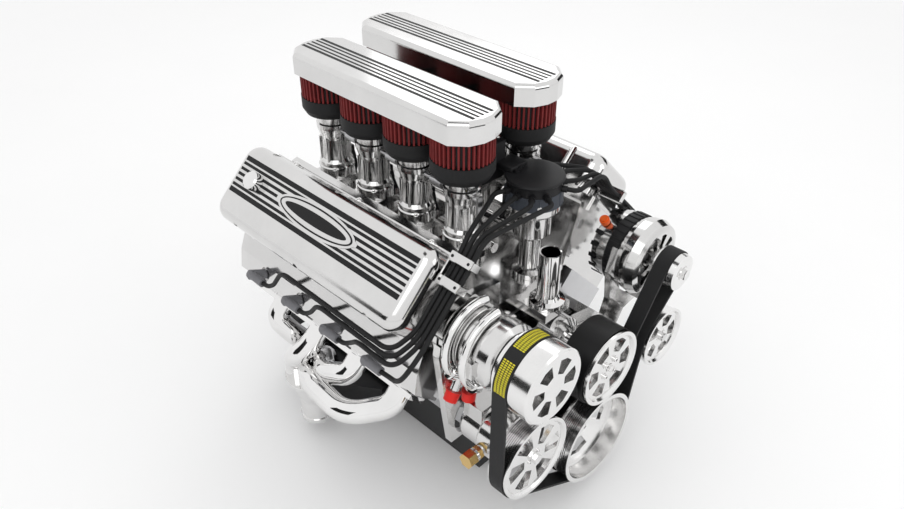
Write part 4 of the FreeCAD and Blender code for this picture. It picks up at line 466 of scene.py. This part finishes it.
class ENGINE_OT_finishes(EngineOperator):
    """Give every carried-over solid its finish"""
    bl_idname = "engine.finishes"
    bl_label = "Finishes"

    def build(self, scene):
        make_finishes()
        for name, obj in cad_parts.items():
            material = FINISHES[NODE_FINISH.get(name, "polished")]
            obj.data.materials.clear()
            obj.data.materials.append(material)
            for spot in obj.material_slots:
                spot.material = material


class ENGINE_OT_pleats(EngineOperator):
    """Fold the pleated filter elements"""
    bl_idname = "engine.pleats"
    bl_label = "Filter pleats"

    def build(self, scene):
        sizes = scene.engine_sizes
        low, high = corners("air_filters")
        for side in SIDES:
            bm = bmesh.new()
            for spot in stacks(side):
                outer = spot.x - low.x if side == "left" else high.x - spot.x
                inner = outer - sizes.pleat_depth
                ring = []
                for k in range(sizes.pleat_count):
                    for share, radius in ((0.0, outer), (0.36, outer), (0.5, inner), (0.86, inner)):
                        turn = math.tau * (k + share) / sizes.pleat_count
                        ring.append((radius * math.cos(turn), radius * math.sin(turn)))
                add_prism(bm, ring, high.z - low.z, Matrix.Translation((spot.x, spot.y, low.z)))
            piece(f"filter_pleats_{side}", bm, "pleats",
                  replaces=("air_filters",), sharp=25)
            # A dark cylinder inside the pleats that shows between the folds: painted shade in the pleat gaps.
            gap_shade = bmesh.new()
            for spot in stacks(side):
                radius = (spot.x - low.x if side == "left" else high.x - spot.x) - sizes.pleat_depth * 0.7
                add_rod(gap_shade, radius, (spot.x, spot.y, low.z + 0.1), (spot.x, spot.y, high.z - 0.1), 40)
            piece(f"filter_core_{side}", gap_shade, "groove", replaces=("air_filters",))


class ENGINE_OT_cover_grooves(EngineOperator):
    """Fill the grooves of the filter lids and the valve covers with black"""
    bl_idname = "engine.cover_grooves"
    bl_label = "Groove filling"

    def build(self, scene):
        depth = scene.engine_sizes.groove_depth
        skin = 0.35
        bm = bmesh.new()
        for side in SIDES:
            row = stacks(side)
            low, high = corners("filter_covers")
            half = row[0].x - low.x if side == "left" else high.x - row[0].x
            for k in range(5):
                across = row[0].x + (k - 2) * LID_PITCH
                wide = (3.4 if k in (0, 4) else 2.4) - PAINT_GAP
                add_block(bm, (across - wide, row[0].y - half + 14.1, high.z - depth - PAINT_GAP),
                          (across + wide, row[3].y + half - 14.1, high.z - skin))
            place = bank_frame(side)
            middle = corners("cylinder_block")[0].y / 2
            for k in range(7):
                across = COVER_ACROSS + (k - 3) * FIN_PITCH
                wide = 2.75 + (1.8 if k in (0, 6) else 0) - PAINT_GAP
                add_block(bm, (across - wide, middle - COVER_HALF_LENGTH, COVER_CROWN - depth - PAINT_GAP),
                          (across + wide, middle + COVER_HALF_LENGTH, COVER_CROWN - skin), place)
        piece("groove_filling", bm, "groove", sharp=30)


class ENGINE_OT_throttle_dress(EngineOperator):
    """Bolt the throttle bodies and add their injectors and clamps"""
    bl_idname = "engine.throttle_dress"
    bl_label = "Throttle body details"

    def build(self, scene):
        bolts = bmesh.new()
        clamps = bmesh.new()
        rubber = bmesh.new()
        for side in SIDES:
            sign = -1 if side == "left" else 1
            for spot in stacks(side):
                for k in range(4):
                    turn = math.radians(45 + 90 * k)
                    at = (spot.x + 30 * math.cos(turn), spot.y + 30 * math.sin(turn), spot.z + 16)
                    add_bolt(bolts, at, (0, 0, 1), 3.6, 5)
                for along in (-24, 24):
                    add_bolt(bolts, (spot.x + sign * 9.3, spot.y + along, 436), (sign, 0, 0), 3.0, 3.5)
                add_lathe(clamps, [(28.3, 468), (29.6, 468), (29.6, 476), (28.3, 476)],
                          Matrix.Translation((spot.x, spot.y, 0)), 40)
                ear = spot.x + sign * 28
                add_block(clamps, (ear - 4, spot.y - 9, 467), (ear + 4, spot.y + 9, 477), None, 1.2)
                hub = Vector((spot.x - sign * 27, spot.y, 392))
                rail = Vector((spot.x - sign * 50, spot.y, 327))
                aim = (rail - hub).normalized()
                add_rod(clamps, 7.5, hub, hub + aim * 16, 20)
                add_rod(rubber, 9.0, hub + aim * 16, hub + aim * 34, 20, 7.5)
                add_rod(rubber, 6.0, hub + aim * 34, rail, 16)
                plug = hub + aim * 20
                add_block(rubber, plug + Vector((-6, -7, 4)), plug + Vector((6, 7, 15)), None, 2)
        piece("throttle_bolts", bolts, "chrome")
        piece("throttle_clamps", clamps, "polished")
        piece("injectors", rubber, "plastic")


class ENGINE_OT_valve_cover_dress(EngineOperator):
    """Add the cover screws' caps and the studs round the covers"""
    bl_idname = "engine.valve_cover_dress"
    bl_label = "Valve cover details"

    def build(self, scene):
        bm = bmesh.new()
        middle = corners("cylinder_block")[0].y / 2
        for side in SIDES:
            place = bank_frame(side)
            for across in (-0.5, 152.5):
                for share in (-0.36, 0, 0.36):
                    at = place @ Vector((across, middle + 505 * share, 379.4))
                    add_bolt(bm, at, place.to_3x3() @ Vector((0, 0, 1)), 4.6, 4)
        piece("cover_screws", bm, "chrome")


class ENGINE_OT_pulley_dress(EngineOperator):
    """Bolt the pulleys to their hubs"""
    bl_idname = "engine.pulley_dress"
    bl_label = "Pulley bolts"

    def build(self, scene):
        rows = (("crank_pulley_bolts", "crank", (0, -650.1, 0), 30, 4, (5.5, 6), (15, 11)),
                ("pump_pulley_bolts", "water_pump_drive", (0, -701.1, 172), 17, 4, (4.6, 5), (6, 4)),
                ("compressor_bolts", "compressor_clutch", (-187, -719.1, 272), 12, 3, (3.0, 3), (6, 4)),
                ("steering_pulley_nut", "steering_drive", (-174, -693.1, 84), 14, 3, (2.6, 3), (9, 7)),
                ("alternator_nut", "alternator_drive", (190, -705.1, 270), 13, 3, (1.6, 1.4), (10, 7)),
                ("idler_bolt", "belt_idler", (178, -692.1, 128), 12, 3, (1.8, 1.6), (8, 6)))
        for name, body, face, radius, count, bolt, nut in rows:
            bm = bmesh.new()
            for k in range(count):
                at = Vector(face) + around(360 * (k + 0.5) / count, radius)
                add_bolt(bm, at, DOWN_THE_FRONT, *bolt)
            add_nut(bm, face, DOWN_THE_FRONT, *nut)
            piece(name, bm, "chrome", body)


class ENGINE_OT_belt_marks(EngineOperator):
    """Print plain tick marks on the belt's back over the compressor"""
    bl_idname = "engine.belt_marks"
    bl_label = "Belt marks"

    def build(self, scene):
        bm = bmesh.new()
        wheel = Vector((-187, -BELT_PLANE, 272))
        belt_back = 64.85
        ticks = [k for k in range(44) if not 17 < k < 24]
        for angle in (62 + 3 * k for k in ticks):
            for across in (-8.5, -2.9, 2.9, 8.5):
                at = wheel + around(angle, belt_back) + Vector((0, across, 0))
                add_block(bm, (-0.95, -2.1, -0.25), (0.95, 2.1, 0.1), aimed(at, around(angle)))
        piece("belt_marks", bm, "marks")


class ENGINE_OT_badges(EngineOperator):
    """Lay a plain oval badge on each valve cover"""
    bl_idname = "engine.badges"
    bl_label = "Blank badges"

    def build(self, scene):
        middle = corners("cylinder_block")[0].y / 2
        layers = (("polished", 103, 25.5, 1.2), ("groove", 97, 21, 1.5),
                  ("polished", 93, 18, 1.8), ("groove", 82, 10.5, 2.1))
        for step, (finish, long, wide, top) in enumerate(layers):
            bm = bmesh.new()
            for side in SIDES:
                ring = []
                for k in range(72):
                    turn = math.tau * k / 72
                    ring.append((COVER_ACROSS + wide * math.sin(turn), middle + long * math.cos(turn)))
                sunk = Matrix.Translation((0, 0, COVER_CROWN - 1.0))
                add_prism(bm, ring, 1.0 + top, bank_frame(side) @ sunk)
            piece(f"badge_layer_{step}", bm, finish)


class ENGINE_OT_distributor_dress(EngineOperator):
    """Add the distributor cap's disc, skirt, screws and bowl rim, and the coil's studs"""
    bl_idname = "engine.distributor_dress"
    bl_label = "Distributor details"

    def build(self, scene):
        low, high = corners("distributor_rotor")
        x, y = (low.x + high.x) / 2, (low.y + high.y) / 2
        base, top = corners("distributor_cap")[0].z, corners("distributor_cap")[1].z
        middle = Matrix.Translation((x, y, 0))
        cap = bmesh.new()
        add_lathe(cap, [(0, top + 0.2), (44, top + 0.2), (50, top - 1), (51.5, top - 4), (50, top - 6),
                        (47.3, top - 6), (47.3, top - 2), (0, top - 2)], middle, 56)
        for k in range(3):
            turn = math.radians(80 + 26 * k)
            at = (x + 30 * math.cos(turn), y + 30 * math.sin(turn), top)
            add_rod(cap, 5.5, at, (at[0], at[1], top + 5 + 2 * (k == 1)), 20)
        add_block(cap, (x - 30, y + 26, top - 4), (x + 12, y + 64, top + 9), None, 3)
        piece("cap_disc", cap, "plastic")
        skirt = bmesh.new()
        add_lathe(skirt, [(47.2, base + 25), (48.2, base + 24), (49.2, base + 2), (50.5, base + 0.4),
                          (47.2, base + 0.4)], middle, 56)
        for k in range(14):
            turn = math.tau * k / 14
            add_rod(skirt, 1.6, (x + 48.6 * math.cos(turn), y + 48.6 * math.sin(turn), base + 1),
                    (x + 47.9 * math.cos(turn), y + 47.9 * math.sin(turn), base + 24), 10)
        piece("cap_skirt", skirt, "skirt")
        rim = bmesh.new()
        add_lathe(rim, [(34.1, base - 20), (43, base - 18), (46.5, base - 13), (46.5, base - 0.4),
                        (34.1, base - 0.4)], middle, 56)
        piece("bowl_rim", rim, "polished")
        screws = bmesh.new()
        for turn in (math.radians(-128), math.radians(-38), math.radians(52)):
            aim = Vector((math.cos(turn), math.sin(turn), 0))
            add_bolt(screws, Vector((x, y, base + 8)) + aim * 48.8, aim, 2.6, 2)
        coil_low, coil_high = corners("ignition_coil")
        for across in (-16, 14):
            add_bolt(screws, (across, coil_low.y + 11.9, coil_high.z), (0, 0, 1), 4.4, 3)
        piece("distributor_screws", screws, "chrome")


class ENGINE_OT_accessory_dress(EngineOperator):
    """Add the compressor's pipes and caps, the brass nut, and the alternator's ribs and terminal"""
    bl_idname = "engine.accessory_dress"
    bl_label = "Accessory details"

    def build(self, scene):
        x, z = centre_of("ac_pulley")
        line_low, line_high = corners("ac_lines")
        along = (line_low.y + line_high.y) / 2
        pipes = bmesh.new()
        caps = bmesh.new()
        for shift, start, stop, root, aim, reach in ((0, 226, 72, (-31, -53), (-0.5, -0.86), 34.3),
                                                     (-37, 240, 84, (-7, -61), (-0.12, -1), 46.3)):
            foot = add_arc_pipe(pipes, (x, along + shift, z), 67, 7.2, start, stop)
            add_rod(pipes, 10.5, foot, foot + around(start - 90, 14), 24)
            way = Vector((aim[0], 0, aim[1])).normalized()
            tip = Vector((x + root[0], along, z + root[1])) + way * reach
            add_rod(caps, 12.2, tip + way * 1.5, tip + way * 17.6, 28, 11.8)
            add_rod(caps, 13.0, tip - way * 0.4, tip + way * 2.2, 28)
        piece("compressor_pipes", pipes, "chrome")
        piece("line_caps", caps, "caps")

        z = centre_of("ps_pulley")[1]
        nut_x = corners("ps_pump")[0].x
        y = corners("ps_pump")[0].y + 52
        nut = bmesh.new()
        add_rod(nut, 14.4, (nut_x - 3, y, z - 8), (nut_x + 14, y, z - 8), 6)
        add_rod(nut, 10.5, (nut_x + 14, y, z - 8), (nut_x + 20, y, z - 8), 24)
        add_rod(nut, 13.2, (nut_x + 20, y, z - 8), (nut_x + 28, y, z - 8), 6)
        piece("brass_nut", nut, "brass")

        x, z = centre_of("alternator_pulley")
        axis = Vector((x, 0, z))
        low, high = corners("alternator_stator")
        radius = (high.x - low.x) / 2
        ribs = bmesh.new()
        slot_shade = bmesh.new()
        rear = corners("alternator_housing")[1].y
        for k in range(32):
            angle = 360 * k / 32
            place = aimed(axis + around(angle, radius), around(angle))
            add_block(ribs, (-3, low.y + 1, -1), (3, high.y - 0.5, 1.3), place, 0.5)
        # Flat dark strips on the rear housing: painted shade standing for its vent slots.
        for k in range(18):
            angle = 360 * k / 18
            place = aimed(axis + around(angle, radius - 1), around(angle))
            add_block(slot_shade, (-4, rear - 20, -1), (4, rear - 6, 0.25), place)
        piece("stator_ribs", ribs, "laminate")
        piece("housing_slots", slot_shade, "groove")
        terminal = bmesh.new()
        aim = around(122)
        foot = Vector((x, rear - 13, z)) + aim * (radius - 1)
        add_rod(terminal, 9, foot, foot + aim * 9, 20)
        add_rod(terminal, 6, foot + aim * 9, foot + aim * 13, 20)
        piece("alternator_terminal", terminal, "terminal")


class ENGINE_OT_wheel_grooves(EngineOperator):
    """Ring the wheels with thin dark bands, painted shade for their belt grooves, and lay a black band round
    the pump's drum
    """
    bl_idname = "engine.wheel_grooves"
    bl_label = "Wheel grooves"

    def build(self, scene):
        belt_rear = corners("serpentine_belt")[1].y
        for name, body, radius in (("crank_pulley", "crank", 88.5), ("ps_pulley", "steering_drive", 73.0),
                                   ("alternator_pulley", "alternator_drive", 32.0),
                                   ("ac_pulley", "compressor_clutch", 60.0)):
            x, z = centre_of(name)
            place = aimed((x, 0, z), DOWN_THE_FRONT)
            bm = bmesh.new()
            # Each ring is a thin dark band just proud of the rim: painted shade standing for a belt groove's
            # recess.
            for k in range(8):
                spot = 0.9 - belt_rear + BELT_PITCH * k
                add_lathe(bm, [(radius - 0.4, spot), (radius + 0.14, spot), (radius + 0.14, spot + 1.5),
                               (radius - 0.4, spot + 1.5)], place, 72)
            piece(f"{name}_grooves", bm, "groove", body)
        # A black band round most of the pump pulley's drum.
        low, high = corners("water_pump_pulley")
        radius = (high.x - low.x) / 2
        drum = bmesh.new()
        x, z = centre_of("water_pump_pulley")
        inside, outside = radius - 0.4, radius + 0.15
        back, front = 1 - high.y, -low.y - 7
        add_lathe(drum, [(inside, back), (outside, back), (outside, front), (inside, front)],
                  aimed((x, 0, z), DOWN_THE_FRONT), 72)
        piece("drum_paint", drum, "drum", "water_pump_drive")


class ENGINE_OT_loom_dress(EngineOperator):
    """Bolt a clamp plate on each loom bar"""
    bl_idname = "engine.loom_dress"
    bl_label = "Loom clamps"

    def build(self, scene):
        plates = bmesh.new()
        hole_shade = bmesh.new()
        block = corners("cylinder_block")[0].y
        low, high = corners("wire_looms")
        for side, across, level in (("left", 152, 407), ("left", 112, 407), ("right", 112, 392)):
            place = bank_frame(side)
            near, far = low.y + 0.6, high.y - 0.6
            if side == "right":
                near, far = block - far, block - near
            add_block(plates, (across - 8, near, level + 10.1), (across + 8, far, level + 13.6), place, 1.5)
            # Dark discs on each plate: painted shade standing for its bolt holes.
            for y in (near + 6, far - 6):
                low_end, top_end = (place @ Vector((across, y, level + rise)) for rise in (12, 13.9))
                add_rod(hole_shade, 2.6, low_end, top_end, 18)
        piece("loom_clamps", plates, "polished")
        piece("loom_holes", hole_shade, "groove")


def sheet(name, finish, size, place):
    """A flat part of the stage, in metres."""
    bm = bmesh.new()
    bmesh.ops.create_grid(bm, x_segments=1, y_segments=1, size=size)
    bmesh.ops.transform(bm, matrix=place, verts=bm.verts)
    mesh = bpy.data.meshes.new(name)
    bm.to_mesh(mesh)
    bm.free()
    obj = bpy.data.objects.new(name, mesh)
    obj.data.materials.append(finish.material)
    bpy.context.scene.collection.objects.link(obj)
    return obj


class ENGINE_OT_stage(EngineOperator):
    """Lay the floor and set the lights, the reflectors and the camera"""
    bl_idname = "engine.stage"
    bl_label = "Stage"

    def build(self, scene):
        look = scene.engine_stage
        floor_finish = Finish("floor_paint")
        speck = floor_finish.noise(3.0, 2.0)
        floor_finish.set(Base_Color=floor_finish.mix(speck, shade(look.floor, 0.99), shade(look.floor, 1.01)),
                         Roughness=0.9)
        sheet("floor", floor_finish, 12.0, Matrix.Translation((0, 0, CAD_BOX[0][2] - 0.002)))

        world = bpy.data.worlds.new("studio")
        scene.world = world
        world.use_nodes = True
        sky = Nodes(world.node_tree)
        seen, through, glossy = (sky.node("ShaderNodeLightPath", output=f"Is {ray} Ray")
                                 for ray in ("Camera", "Transmission", "Glossy"))
        ambient = sky.node("ShaderNodeBackground", Color=(1, 1, 1, 1), Strength=0.94)
        white = sky.node("ShaderNodeBackground", Color=(1, 1, 1, 1), Strength=1.0)
        shown = seen.math("MAXIMUM", through).math("MAXIMUM", glossy)
        blend = sky.node("ShaderNodeMixShader", sockets=(shown, ambient, white))
        sky.node("ShaderNodeOutputWorld", Surface=blend)

        centre = (Vector(CAD_BOX[0]) + Vector(CAD_BOX[1])) / 2
        for name, at, size, power in (("key", (-1.6, -1.4, 2.2), 1.4, 6.5),
                                      ("rim", (1.5, 0.9, 1.9), 1.2, 4.5),
                                      ("front", (0.7, -2.4, 1.0), 1.0, 3)):
            light = bpy.data.lights.new(name, "AREA")
            light.energy = power
            light.size = size
            lamp = bpy.data.objects.new(name, light)
            aim = (centre - Vector(at)).to_track_quat("-Z", "Y").to_matrix().to_4x4()
            lamp.matrix_world = Matrix.Translation(Vector(at)) @ aim
            scene.collection.objects.link(lamp)

        dark = Finish("flag_cloth")
        dark.set(Base_Color=(0.004, 0.004, 0.004, 1.0), Roughness=1.0)
        for name, at, wide, tall in (("flag_left", (-2.6, 0.6, 0.7), 1.6, 1.1),
                                     ("flag_front", (0.3, -3.0, 0.2), 1.5, 0.7),
                                     ("flag_top", (-0.6, -0.3, 3.0), 0.9, 0.9),
                                     ("flag_right", (2.6, -0.8, 0.9), 1.6, 1.2)):
            aim = (centre - Vector(at)).to_track_quat("Z", "Y").to_matrix().to_4x4()
            stretch = Matrix.Diagonal((wide, tall, 1, 1))
            flag = sheet(name, dark, 0.5, Matrix.Translation(Vector(at)) @ aim @ stretch)
            flag.visible_camera = False
            flag.visible_shadow = False
            flag.visible_diffuse = False

        lens = bpy.data.cameras.new("camera")
        lens.lens = look.lens
        lens.sensor_width = 36.0
        camera = bpy.data.objects.new("camera", lens)
        camera.location = (-0.90645, -1.24146, 1.12134)
        camera.rotation_euler = (math.pi / 2 - look.elevation, 0, look.azimuth)
        scene.collection.objects.link(camera)
        scene.camera = camera
        scene.view_settings.view_transform = "Standard"


class ENGINE_PT_steps(bpy.types.Panel):
    """Lists the engine's building steps"""
    bl_label = "Engine"
    bl_idname = "ENGINE_PT_steps"
    bl_space_type = "VIEW_3D"
    bl_region_type = "UI"
    bl_category = "Engine"

    def draw(self, context):
        for step in STEPS:
            self.layout.operator(step.bl_idname)


STEPS = (ENGINE_OT_finishes, ENGINE_OT_stage, ENGINE_OT_pleats, ENGINE_OT_cover_grooves,
         ENGINE_OT_throttle_dress, ENGINE_OT_valve_cover_dress, ENGINE_OT_pulley_dress,
         ENGINE_OT_belt_marks, ENGINE_OT_badges, ENGINE_OT_distributor_dress,
         ENGINE_OT_accessory_dress, ENGINE_OT_wheel_grooves, ENGINE_OT_loom_dress)
SETTINGS = {"engine_colours": EngineColours, "engine_sizes": EngineSizes, "engine_stage": StageSettings}


def register():
    for name, group in SETTINGS.items():
        bpy.utils.register_class(group)
        setattr(bpy.types.Scene, name, bpy.props.PointerProperty(type=group))
    for step in (*STEPS, ENGINE_PT_steps):
        bpy.utils.register_class(step)


def unregister():
    for step in reversed((*STEPS, ENGINE_PT_steps)):
        bpy.utils.unregister_class(step)
    for name, group in SETTINGS.items():
        delattr(bpy.types.Scene, name)
        bpy.utils.unregister_class(group)


def main():
    register()
    for step in STEPS:
        group, action = step.bl_idname.split(".")
        getattr(getattr(bpy.ops, group), action)()


if __name__ == "__main__":
    main()
